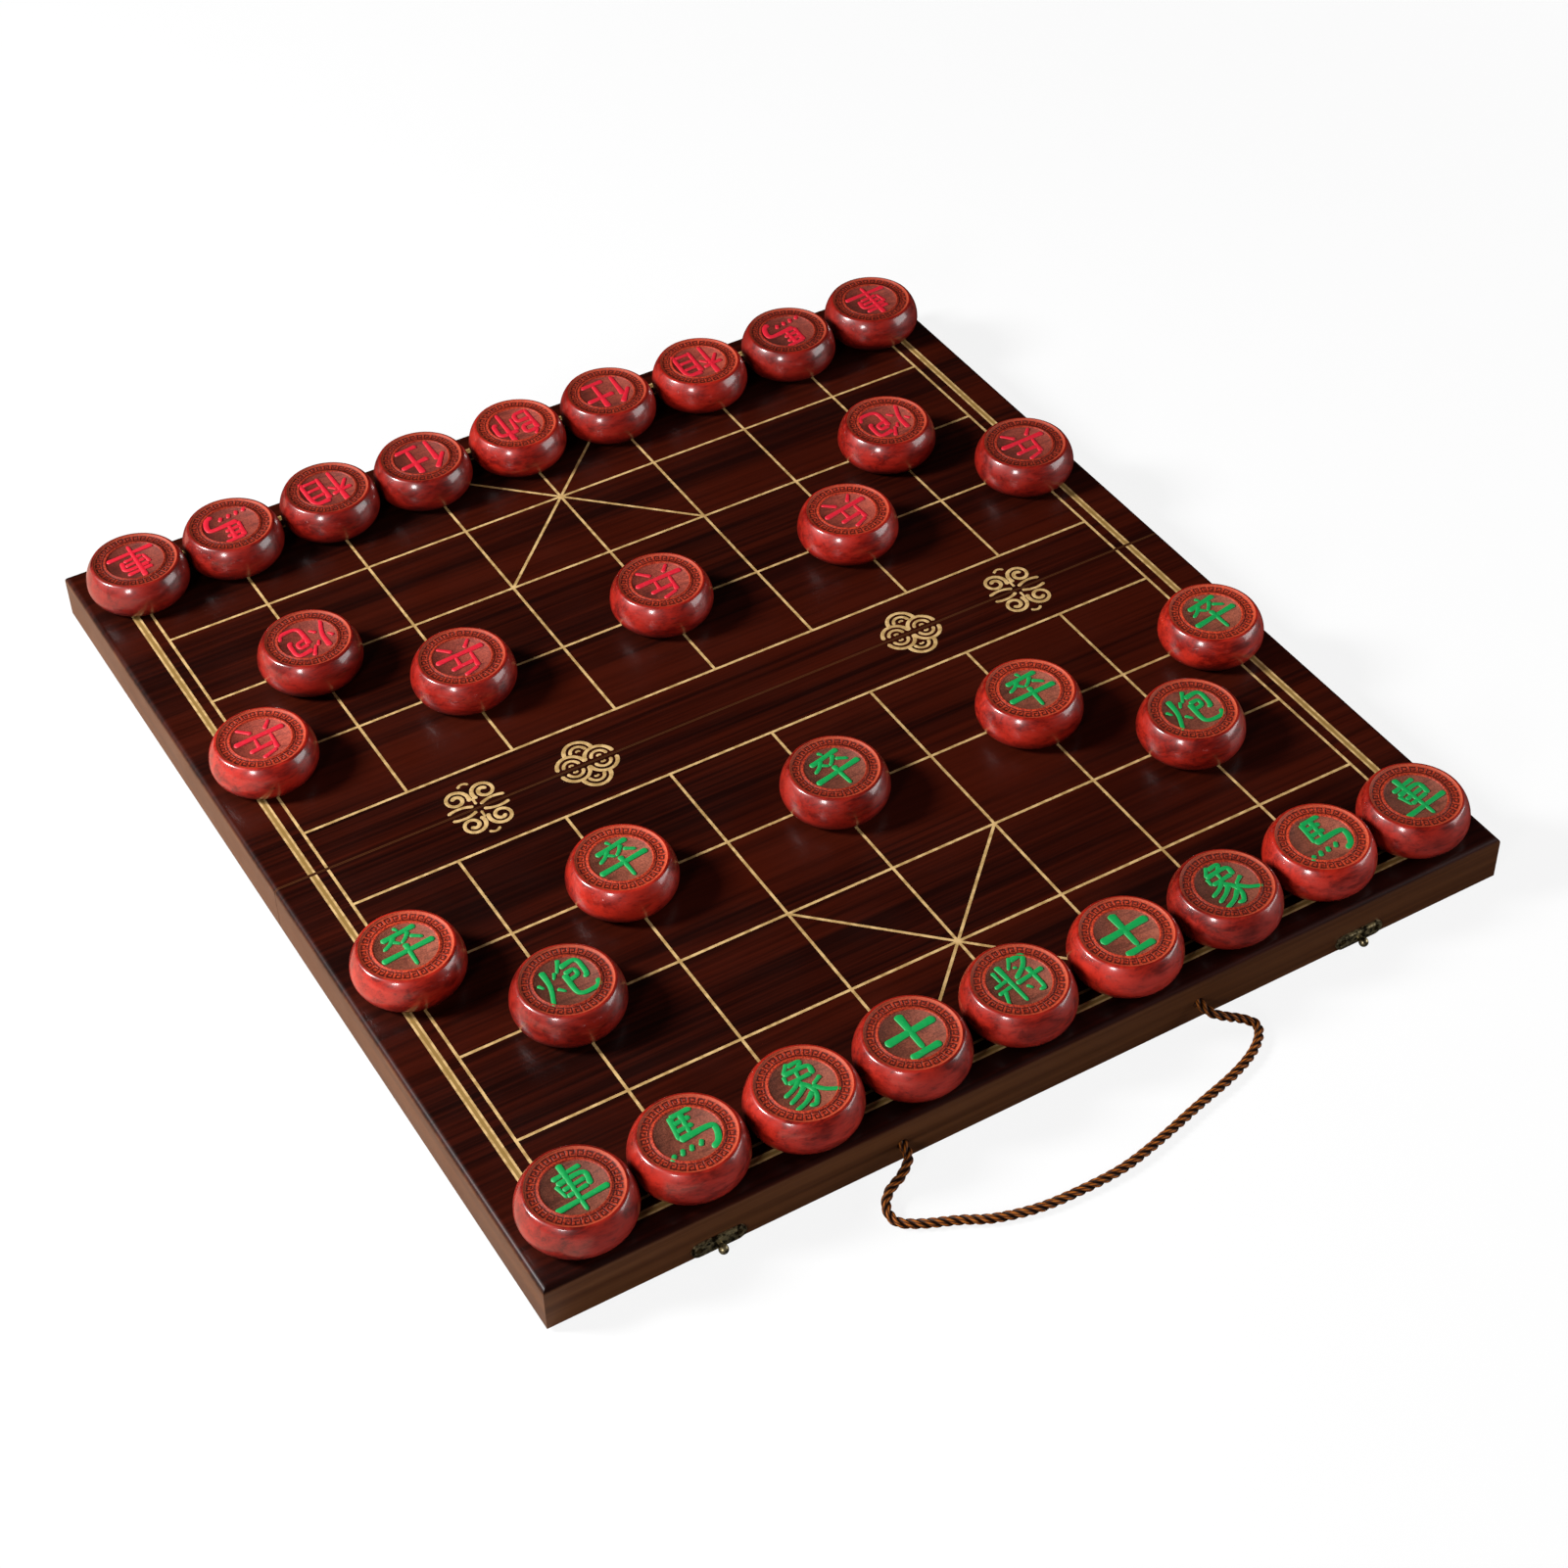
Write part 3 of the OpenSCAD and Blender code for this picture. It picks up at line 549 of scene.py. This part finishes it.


# Top tones first, then the lighter side tones, which are painted sheen
WOOD_TONES = (srgb("#160301"), srgb("#390d03"), srgb("#3a1e0e"), srgb("#5f391f"))
WOOD = board_wood("board_wood", *WOOD_TONES)
SIDE_WOOD = board_wood("side_rail_wood", *WOOD_TONES, across=True)
GOLD = gold_line()
BRONZE = metal("antique_bronze", srgb("#2e2618"), srgb("#b4a47c"), 0.28, 0.42, shine=0.8)
BRASS = metal("hinge_brass", srgb("#8a6a35"), srgb("#cfae6a"), 0.25, 0.4)
SCREW = metal("screw_metal", srgb("#8f7c55"), srgb("#d9c595"), 0.22, 0.35)
STEEL = metal("pin_steel", srgb("#7d7d7a"), srgb("#b5b5b2"), 0.25, 0.38)
ROPE = rope_yarn()
# Each band's third colour darkens the fret's sunk lines, as painted shade
NEAR_MAN = [
    man_wood("near_man_wood", srgb("#5c0703"), srgb("#a81e0d")),
    man_band("near_man_band", srgb("#7c190c"), srgb("#b83e20"), srgb("#300703"), srgb("#c0583a")),
    man_disc("near_man_disc", srgb("#5f2c1e"), srgb("#8e4a36")),
    paint("green_paint", srgb("#039446"), srgb("#35a86a")),
]
FAR_MAN = [
    man_wood("far_man_wood", srgb("#5a0603"), srgb("#a21a0c")),
    man_band("far_man_band", srgb("#74150a"), srgb("#ae381e"), srgb("#2a0603"), srgb("#b65036")),
    man_disc("far_man_disc", srgb("#64231a"), srgb("#98402f")),
    paint("red_paint", srgb("#cc162c"), srgb("#de5062")),
]


# Rope

FRONT = -HALF_D
LIE = ROPE_R + 0.05
ROPE_ROUTE = [
    (-ROPE_X, FRONT + 4.5, ROPE_Z),
    (-ROPE_X, FRONT - 1, ROPE_Z),
    (-ROPE_X - 1.5, FRONT - 6.5, ROPE_Z - 0.7),
    (-ROPE_X - 7, FRONT - 10.5, ROPE_Z - 2.8),
    (-ROPE_X - 13.5, FRONT - 12.5, ROPE_Z - 5.6),
    (-ROPE_X - 18, FRONT - 17.5, LIE + 0.6),
    (-ROPE_X - 18, FRONT - 24.5, LIE),
    (-ROPE_X - 11, FRONT - 30, LIE),
    (-ROPE_X + 2, FRONT - 36, LIE),
    (-54.5, FRONT - 42, LIE),
    (-38, FRONT - 46.5, LIE),
    (-19, FRONT - 47.8, LIE),
    (0, FRONT - 47.2, LIE),
    (20, FRONT - 43, LIE),
    (40, FRONT - 37.5, LIE),
    (60, FRONT - 32.3, LIE),
    (ROPE_X + 5, FRONT - 27.3, LIE),
    (ROPE_X + 13.5, FRONT - 21.5, LIE),
    (ROPE_X + 16.5, FRONT - 16, LIE + 0.7),
    (ROPE_X + 12.5, FRONT - 11.8, ROPE_Z - 5.4),
    (ROPE_X + 6.5, FRONT - 9.8, ROPE_Z - 2.6),
    (ROPE_X + 1.5, FRONT - 6.5, ROPE_Z - 0.7),
    (ROPE_X, FRONT - 1, ROPE_Z),
    (ROPE_X, FRONT + 4.5, ROPE_Z),
]
ROPE_LAY = 12.0
STRAND_R = 0.93
STRAND_OFF = ROPE_R - STRAND_R
STRAND_SIDES = 12
RING_STEP = 0.55
LEG_STEPS = 16
KNOT_SIZE = 0.85
KNOT_STRANDS = 0.75
KNOT_STEPS = 60
KNOT_IN = 13.2


def laid_rope(skin, line, scale=1.0):
    """Three strands round the line c(s): c + off (cos a u + sin a v), a = 2 pi s / lay + k 2 pi / 3;
    scale makes the strands and their offset smaller."""
    line, run = resample(np.asarray(line, float), RING_STEP)
    u, v = sides_along(line)
    for k in range(3):
        a = (2 * math.pi * run / ROPE_LAY + k * 2 * math.pi / 3)[:, None]
        out = np.cos(a) * u + np.sin(a) * v
        tube(skin, line + STRAND_OFF * scale * out, STRAND_R * scale, STRAND_SIDES, out)


def knot_line(side):
    """Trefoil (sin a + 2 sin 2a, -sin 3a, cos a - 2 cos 2a), behind the rail at one rope hole."""
    a = np.linspace(0, 2 * math.pi, KNOT_STEPS)
    knot = np.stack([np.sin(a) + 2 * np.sin(2 * a), -np.sin(3 * a), np.cos(a) - 2 * np.cos(2 * a)], 1)
    return knot * KNOT_SIZE + [side * ROPE_X, FRONT + KNOT_IN, ROPE_Z]


rope_line = spline(ROPE_ROUTE, LEG_STEPS)
skin = Skin()
laid_rope(skin, rope_line)
rope = skin.build("rope", "near_half", [ROPE], ["carry_rope"])

skin = Skin()
for side in (-1, 1):
    laid_rope(skin, knot_line(side), KNOT_STRANDS)
knots = skin.build("rope_knots", "near_half", [ROPE])


# Chessmen

# Marks as brush strokes on a field of 100 x 100, x to the right and y up; a stroke is a row of points
MARKS = {
    "chariot": (
        2.7,
        "22 81 80 89|23 68 29 36|25 68 82 77 76 42|29 53 75 60|30 38 73 45|-2 17 104 28|"
        "47 108 47 -4",
    ),
    "horse": (
        3.2,
        "37 98 31 44|36 95 80 102|34 79 70 84|33 62 68 67|56 99 54 48|"
        "31 43 97 53 98 34 90 12 74 4|0 6 12 20|22 10 28 25|40 13 46 27|58 16 66 30",
    ),
    "elephant": (
        2.8,
        "46 106 28 84|42 98 72 103 56 84|28 82 25 62|28 83 80 88 76 64|27 62 74 67|"
        "52 84 50 64|50 64 32 48 8 38|44 55 60 40 61 18 50 0 38 4|51 47 34 32 10 20|"
        "58 30 38 12 12 2|86 56 64 42|61 42 78 24 104 12",
    ),
    "scholar": (
        3.8,
        "-4 50 104 64|49 102 50 12|18 2 84 10",
    ),
    "general": (
        2.6,
        "20 92 20 62|3 56 34 62|0 40 32 46|15 42 2 10|34 100 36 2|67 106 48 80|"
        "62 98 93 101 78 76 48 56|58 82 66 76|70 76 78 70|42 46 104 54|80 70 81 10 68 14|"
        "54 34 62 22",
    ),
    "cannon": (
        2.7,
        "22 94 20 52 0 6|0 68 8 54|42 80 32 64|26 42 38 28|62 104 44 74|"
        "54 84 92 91 90 44 80 42|54 66 76 70 76 52 54 48|54 66 51 16 62 7 94 9 100 26",
    ),
    "foot": (
        2.9,
        "46 104 53 92|14 80 86 92|40 84 28 68 10 58|32 72 46 60|68 84 58 70 46 60|"
        "66 72 88 58|-4 32 104 46|51 58 51 -2",
    ),
    "minister": (
        2.9,
        "0 64 48 74|27 106 28 -4|26 68 2 34|32 62 48 46|58 84 57 4|58 86 97 91 96 2|"
        "60 62 94 67|60 38 94 42|59 13 94 16",
    ),
    "officer": (
        3.2,
        "33 100 0 52|21 74 21 -2|37 58 104 70|68 102 69 14|42 7 98 15",
    ),
    "marshal": (
        2.9,
        "26 102 14 86|12 84 12 8|12 84 42 88 40 62 13 58|14 40 44 44 42 16 12 12|55 70 53 24|"
        "54 72 99 78 97 32 86 34|75 104 75 -4",
    ),
    "soldier": (
        2.9,
        "66 104 32 90|31 90 28 42|31 70 84 78|62 74 61 44|-4 34 104 46|34 27 16 4|60 28 86 4",
    ),
}
BACK_GREEN = "chariot horse elephant scholar general scholar elephant horse chariot".split()
BACK_RED = "chariot horse minister officer marshal officer minister horse chariot".split()
BACK_NAMES = (
    "chariot_left horse_left elephant_left adviser_left general adviser_right elephant_right"
    " horse_right chariot_right"
).split()
MARK_SIZE = 21.5
MARK_RISE = 0.42
FRET_COUNT = 30
MAN_SIDES = 120
MARK_STEP = 0.012
MARK_SINK = 0.04
CORNER_CUT = 0.2
STROKE_STEP = 0.5
SWELL = 0.22
# Each man draws its turn and then its shade
chance = np.random.default_rng(27687)


def stroke_lines(text):
    """The strokes of one mark as smoothed polylines in millimetres, centred: each inner corner is cut
    twice at a fifth of its sides."""
    for part in text.split("|"):
        numbers = np.array(part.split(), float).reshape(-1, 2)
        line = (numbers - 50) / 100 * MARK_SIZE
        for _ in range(2):
            if len(line) > 2:
                legs = [
                    (a + (b - a) * CORNER_CUT, a + (b - a) * (1 - CORNER_CUT))
                    for a, b in zip(line[:-1], line[1:])
                ]
                line = np.array([line[0], *[p for leg in legs for p in leg][1:-1], line[-1]])
        yield line


# Cross section of a stroke: shares of its half width and of its rise
SECTION = np.array(
    [(-1.0, 0.0), (-0.97, 0.6), (-0.8, 0.94), (0.0, 1.0), (0.8, 0.94), (0.97, 0.6), (1.0, 0.0)]
)


def brush(skin, line, width, base_z, rise, slot, place, turn=0.0):
    """A raised brush stroke. Its half width is w/2 (1.06 - swell sin(pi s)) (1 - 0.42 fall s^2), fall
    being the share of its length that it falls by, and closes at both ends as sqrt(1 - (1 - d / e)^2),
    d being the distance to the end and e 0.4 w at the start, 0.55 w at the end. Short strokes are
    thinner: w is at most the width given times 0.62 + 0.45 length / mark size."""
    line, run = resample(line, STROKE_STEP)
    long = run[-1]
    width *= min(1.0, 0.62 + 0.45 * long / MARK_SIZE)
    s = run / long
    d = np.minimum(run, long - run)
    e = width * np.where(s < 0.5, 0.4, 0.55)
    close = np.sqrt(np.clip(1 - (1 - np.clip(d / e, 0, 1)) ** 2, 0.03, 1))
    fall = np.clip((line[0] - line[-1])[1] / long, 0, 1)
    half = width / 2 * (1.06 - SWELL * np.sin(math.pi * s)) * (1 - 0.42 * fall * s**2) * close
    t = unit(np.gradient(line, axis=0))
    side = np.stack([-t[:, 1], t[:, 0]], 1)
    c, sn = math.cos(turn), math.sin(turn)
    flat = line[:, None] + side[:, None] * (SECTION[None, ::-1, 0] * half[:, None])[..., None]
    high = base_z + rise * SECTION[None, ::-1, 1] * np.clip(close, 0.35, 1)[:, None]
    x = flat[..., 0] * c - flat[..., 1] * sn + place[0]
    y = flat[..., 0] * sn + flat[..., 1] * c + place[1]
    rows, cols = len(line), len(SECTION)
    first = skin.add(np.stack([x, y, high], -1), lattice(rows, cols), slot)
    skin.close(first, rows, cols, (slot, slot))


def arc(p, q, radius, steps, bulge=1):
    """Points from p to q on a circle of that radius, its centre on the left for bulge 1."""
    p, q = np.array(p, float), np.array(q, float)
    mid, half = (p + q) / 2, np.linalg.norm(q - p) / 2
    normal = np.array([-(q - p)[1], (q - p)[0]]) / (2 * half)
    centre = mid + bulge * normal * math.sqrt(max(radius**2 - half**2, 0))
    a0, a1 = [math.atan2(*(r - centre)[::-1]) for r in (p, q)]
    a1 += (2 * math.pi if a1 < a0 and bulge > 0 else 0) - (2 * math.pi if a1 > a0 and bulge < 0 else 0)
    a = np.linspace(a0, a1, steps)
    return centre + radius * np.stack([np.cos(a), np.sin(a)], 1)


def man_profile():
    """Section (r, z) of a chessman from the middle of its foot, up the side and in over the top. The
    upper side is an arc of radius R whose normal has risen by SIDE_TILT where the shoulder takes over:
    R sin(tilt) = MAN_H - SHOULDER_R (1 - sin(tilt)) - MAN_WIDE_Z."""
    low_dx, wide = MAN_D / 2 - MAN_FOOT_R, (MAN_D / 2, MAN_WIDE_Z)
    low_r = (low_dx**2 + MAN_WIDE_Z**2) / (2 * low_dx)
    sin_t, cos_t = math.sin(SIDE_TILT), math.cos(SIDE_TILT)
    up_z = MAN_H - SHOULDER_R * (1 - sin_t)
    up_r = (up_z - MAN_WIDE_Z) / sin_t
    up_end = (MAN_D / 2 - up_r * (1 - cos_t), up_z)
    crest_r = up_end[0] - SHOULDER_R * cos_t
    foot = [(0.02, 0.6), (13.7, 0.6), (14.0, 0.05), (14.2, 0.0), (17.7, 0.0)]
    side = arc((MAN_FOOT_R, 0.25), wide, low_r, 14)
    upper = arc(wide, up_end, up_r, 18)[1:]
    shoulder = arc(up_end, (crest_r, MAN_H), SHOULDER_R, 12)[1:]
    crest = [(BAND_R, MAN_H - 0.06), (BAND_R - 0.08, MAN_H - 0.2), (BAND_R - 0.2, BAND_Z)]
    ridge = [
        (DISC_R + 0.15, BAND_Z), (DISC_R, BAND_Z + 0.16), (DISC_R - 0.2, BAND_Z + 0.24),
        (DISC_R - 0.42, BAND_Z + 0.2), (DISC_R - 0.6, BAND_Z), (DISC_R - 0.75, DISC_Z), (0.02, DISC_Z),
    ]
    return np.vstack([foot, side, upper, shoulder, crest, ridge])


PROFILE = man_profile()

# Height above the foot from which a face belongs to the top
TOP_FROM = 15
WOOD_SLOT, BAND_SLOT, DISC_SLOT, PAINT_SLOT = range(4)


def chessman(name, mark, x, y, turn, materials):
    """Turned body p = (r cos a, r sin a, z) with UVs for the band, and the mark's strokes on the disc.
    The man rides on the body of its own name and carries one random shade."""
    skin = Skin()
    a = np.arange(MAN_SIDES) / MAN_SIDES * 2 * math.pi
    r, z = PROFILE[:, :1], PROFILE[:, 1:]
    points = np.stack([r * np.cos(a) + x, r * np.sin(a) + y, z + TOP_Z + 0 * a], -1)
    rows = len(PROFILE)
    quads = lattice(rows, MAN_SIDES)
    i = quads[:, 0] // MAN_SIDES
    radius, height = PROFILE[:, 0], PROFILE[:, 1]
    outer, inner = radius[i], radius[i + 1]
    on_top = (height[i] > TOP_FROM) & (height[i + 1] > TOP_FROM)
    kind = np.where(on_top & (outer < BAND_R + 0.2) & (inner > DISC_R - 0.8), BAND_SLOT, WOOD_SLOT)
    kind = np.where(on_top & (outer < DISC_R - 0.7), DISC_SLOT, kind)
    across_band = (radius - DISC_R) / (BAND_R - DISC_R)
    skin.add(points, quads, kind, lattice_uv(quads, MAN_SIDES, FRET_COUNT, across_band))
    skin.close(0, rows, MAN_SIDES, (WOOD_SLOT, DISC_SLOT))
    width, strokes = MARKS[mark]
    shade = chance.random()
    for k, line in enumerate(stroke_lines(strokes)):
        rise = MARK_RISE + MARK_STEP * k
        brush(skin, line, width, TOP_Z + DISC_Z - MARK_SINK, rise, PAINT_SLOT, (x, y), turn)
    made = skin.build(name + "_man", name, materials, [name])
    own = made.data.attributes.new("man_shade", "FLOAT", "POINT")
    own.data.foreach_set("value", np.full(len(made.data.vertices), shade))


def col_x(c):
    """Place of a column across the board: equal steps, and the outermost ones narrower."""
    return math.copysign(GRID_X, c - 4) if abs(c - 4) == 4 else (c - 4) * COL_STEP


def row_y(r):
    """Place of a row along the board, the river in the middle."""
    return (r - 4.5) * ROW_STEP


# How the men stand off their points: all a little inwards by column and to the left, each row by its
# own shift, and each man by its own (x, y), in millimetres
SPREAD = -0.75
SHIFT = -0.5
NEAR_BACK_SHIFT = 4
FAR_BACK_SHIFT = -8
FRONT_SHIFT = -2
TURN_LIMIT = 5
NEAR_BACK_HAND = (
    (0.2, 0), (0.3, 0.4), (-0.4, -1.2), (-1.2, -1.2), (-0.6, 0.6),
    (0.4, 0), (0.4, 0.6), (-0.4, 2), (0.2, 1.2),
)
NEAR_CANNON_HAND = ((-1.8, 0.8), (1.8, 0.8))
NEAR_SOLDIER_HAND = ((0.2, 1.6), (-0.9, 0.3), (2, 0.7), (0.1, -1), (0, -1))
FAR_BACK_HAND = (
    (0, -1), (0.1, 0.2), (0, 1.4), (-1.7, -0.1), (-1.1, -0.5),
    (-1.2, -0.5), (-0.6, -2.4), (0.3, -3), (2, -1.8),
)
FAR_CANNON_HAND = ((-3, -1.6), (1.6, -0.8))
FAR_SOLDIER_HAND = ((0.4, -2.2), (-0.2, 0.4), (0.1, 0.2), (-0.8, -0.6), (0, -1.2))
men = []
for c, kind in enumerate(BACK_NAMES):
    men.append(("green_" + kind, BACK_GREEN[c], c, 0, NEAR_BACK_SHIFT, NEAR_BACK_HAND[c]))
    men.append(("red_" + kind, BACK_RED[c], c, 9, FAR_BACK_SHIFT, FAR_BACK_HAND[c]))
for k, (c, kind) in enumerate(((1, "cannon_left"), (7, "cannon_right"))):
    men.append(("green_" + kind, "cannon", c, 2, FRONT_SHIFT, NEAR_CANNON_HAND[k]))
    men.append(("red_" + kind, "cannon", c, 7, FRONT_SHIFT, FAR_CANNON_HAND[k]))
for k, kind in enumerate("abcde"):
    men.append(("green_soldier_" + kind, "foot", 2 * k, 3, FRONT_SHIFT, NEAR_SOLDIER_HAND[k]))
    men.append(("red_soldier_" + kind, "soldier", 2 * k, 6, FRONT_SHIFT, FAR_SOLDIER_HAND[k]))
for name, mark, c, r, shift, hand in men:
    near = name.startswith("green")
    turn = math.radians(chance.uniform(-TURN_LIMIT, TURN_LIMIT)) + (0 if near else math.pi)
    chessman(
        name,
        mark,
        col_x(c) + SPREAD * (c - 4) + SHIFT + hand[0],
        row_y(r) + shift + hand[1],
        turn,
        NEAR_MAN if near else FAR_MAN,
    )


# River ornaments

ORNAMENT_X = (-125.8, -75.2, 85.1, 140.8)
ORNAMENT_Z = TOP_Z - 0.02
ORNAMENT_RISE = 0.06
ORNAMENT_STEP = 0.002
ORNAMENT_W = 1.9


def cloud(half):
    """A ruyi cloud over the seam: two spirals r = 5.6 (1 - 0.78 s), joined by arcs, with side curls."""
    lines = []
    for side in (-1, 1):
        s = np.linspace(0, 1, 40)
        a = math.radians(215) - s * math.radians(560)
        r = 5.6 * (1 - 0.78 * s)
        x, y = 6.4 + r * np.cos(a), 8.4 + r * np.sin(a)
        lines.append(np.stack([side * x, y], 1))
        lines.append(arc((side * 1.6, 1.4), (side * 13.0, 2.2), 12, 12, -side))
    lines.append(np.array([(0, 2.2), (0, 6.5)]))
    lines.append(arc((-2.4, 14.6), (2.4, 14.6), 2.6, 14, -1))
    return [line * [1, half] for line in lines]


def wave(half):
    """Scale waves on the seam: half circles in two rows, each with a smaller one inside it."""
    lines = []
    for x, y in ((-6.5, 1.5), (6.5, 1.5), (0, 8.0)):
        for r in (6.3, 3.5, 0.9):
            lines.append(arc((x + r, y), (x - r, y), r, 24))
    return [line * [1, half] for line in lines]


for half, body in ((-1, "near_half"), (1, "far_half")):
    skin = Skin()
    for n, x in enumerate(ORNAMENT_X):
        for k, line in enumerate((cloud, wave, wave, cloud)[n](half)):
            rise = ORNAMENT_RISE + ORNAMENT_STEP * k
            brush(skin, line, ORNAMENT_W, ORNAMENT_Z, rise, 0, (x, 0))
    skin.build(("near" if half < 0 else "far") + "_ornaments", body, [GOLD])


# Carried-over parts

LOOKS = {
    "panel": WOOD,
    "left_rail": SIDE_WOOD,
    "right_rail": SIDE_WOOD,
    "rail": WOOD,
    "line_work": GOLD,
    "leaf": BRASS,
    "pins": STEEL,
    "screws": SCREW,
    "keeper": BRONZE,
    "plate": BRONZE,
    "flap": BRONZE,
}
for name, thing in NODES.items():
    look = next((LOOKS[key] for key in LOOKS if name.endswith(key)), None)
    if look:
        thing.data.materials.clear()
        thing.data.materials.append(look)


# Floor, backdrop and light

FLOOR_SIZE = 12
FLOOR_DROP = 0.0004
FLOOR_CLEAR = 0.87
FLOOR_FADE = (0.5, 1.2)
AMBIENT = 0.04
GLOSSY_AMBIENT = 0.01


def floor_material():
    """Plain pale floor. Reflections see it bright only beside the board's left side. Camera rays pass
    mostly through it to the white beyond, and light passes too, so that a half folded under shows."""
    m = Mat("pale_floor")
    path = m.node("ShaderNodeLightPath")
    glossy, seen = Sock(m, path.outputs["Is Glossy Ray"]), Sock(m, path.outputs["Is Camera Ray"])
    x, y, _ = m.axes()
    speck = m.noise(m.where(), 30, 3, 0.5)
    right = m.ramp(x, -HALF_W * MM, (-HALF_W + 20) * MM)
    plain = m.mix(speck, (0.86, 0.86, 0.86), (0.9, 0.9, 0.9))
    warm = m.mix(glossy, plain, (0.5, 0.36, 0.28))
    m.finish(
        Base_Color=m.mix(glossy * right, warm, (0.03, 0.02, 0.015)),
        Roughness=0.75,
        Specular_IOR_Level=0.1,
    )
    clear = m.node("ShaderNodeBsdfTransparent")
    both = m.node("ShaderNodeMixShader")
    away = (x * x + y * y) ** 0.5
    through = seen * m.ramp(away, FLOOR_FADE[0], FLOOR_FADE[1], FLOOR_CLEAR, 1.0)
    m.put(both.inputs[0], through.max(Sock(m, path.outputs["Is Shadow Ray"])))
    m.tree.links.new(m.shader.outputs[0], both.inputs[1])
    m.tree.links.new(clear.outputs[0], both.inputs[2])
    m.tree.links.new(both.outputs[0], m.out.inputs[0])
    return m.material


bpy.ops.mesh.primitive_plane_add(size=FLOOR_SIZE, location=(0, 0, -FLOOR_DROP))
floor = bpy.context.object
floor.name = "floor"
floor.data.materials.append(floor_material())

world = bpy.data.worlds.new("studio")
bpy.context.scene.world = world
world.use_nodes = True
nodes, links = world.node_tree.nodes, world.node_tree.links
nodes.remove(nodes["Background"])
rays = nodes.new("ShaderNodeLightPath")


def white(strength):
    """A white background of that strength."""
    made = nodes.new("ShaderNodeBackground")
    made.inputs["Color"].default_value = (1, 1, 1, 1)
    made.inputs["Strength"].default_value = strength
    return made.outputs[0]


def by_ray(ray, others, those):
    """Those rays see one shader, and all others see the other."""
    made = nodes.new("ShaderNodeMixShader")
    links.new(rays.outputs[ray], made.inputs[0])
    links.new(others, made.inputs[1])
    links.new(those, made.inputs[2])
    return made.outputs[0]


unseen = by_ray("Is Glossy Ray", white(AMBIENT), white(GLOSSY_AMBIENT))
links.new(by_ray("Is Camera Ray", unseen, white(1.0)), nodes["World Output"].inputs[0])


def softbox(name, at, aim, size, power):
    """A rectangular lamp at one place that faces another."""
    data = bpy.data.lights.new(name, "AREA")
    data.shape = "RECTANGLE"
    data.size, data.size_y = size
    data.energy = power
    lamp = bpy.data.objects.new(name, data)
    lamp.location = at
    lamp.rotation_euler = (Vector(aim) - Vector(at)).to_track_quat("-Z", "Y").to_euler()
    bpy.context.scene.collection.objects.link(lamp)


def toward(turn, up, far):
    """A place far metres from the middle of the board, turn degrees round from +X and up degrees high."""
    turn, up = math.radians(turn), math.radians(up)
    return (far * math.cos(up) * math.cos(turn), far * math.cos(up) * math.sin(turn), far * math.sin(up))


MIDDLE = (0, 0, 0.02)
softbox("left_box", toward(159, 36, 1.9), MIDDLE, (0.38, 0.5), 60)
softbox("front_spot", toward(217, 25, 2.0), MIDDLE, (0.3, 0.35), 13)
softbox("right_strip", toward(332, 17, 1.35), MIDDLE, (0.8, 0.6), 7.5)

bpy.context.scene.view_settings.view_transform = "Standard"
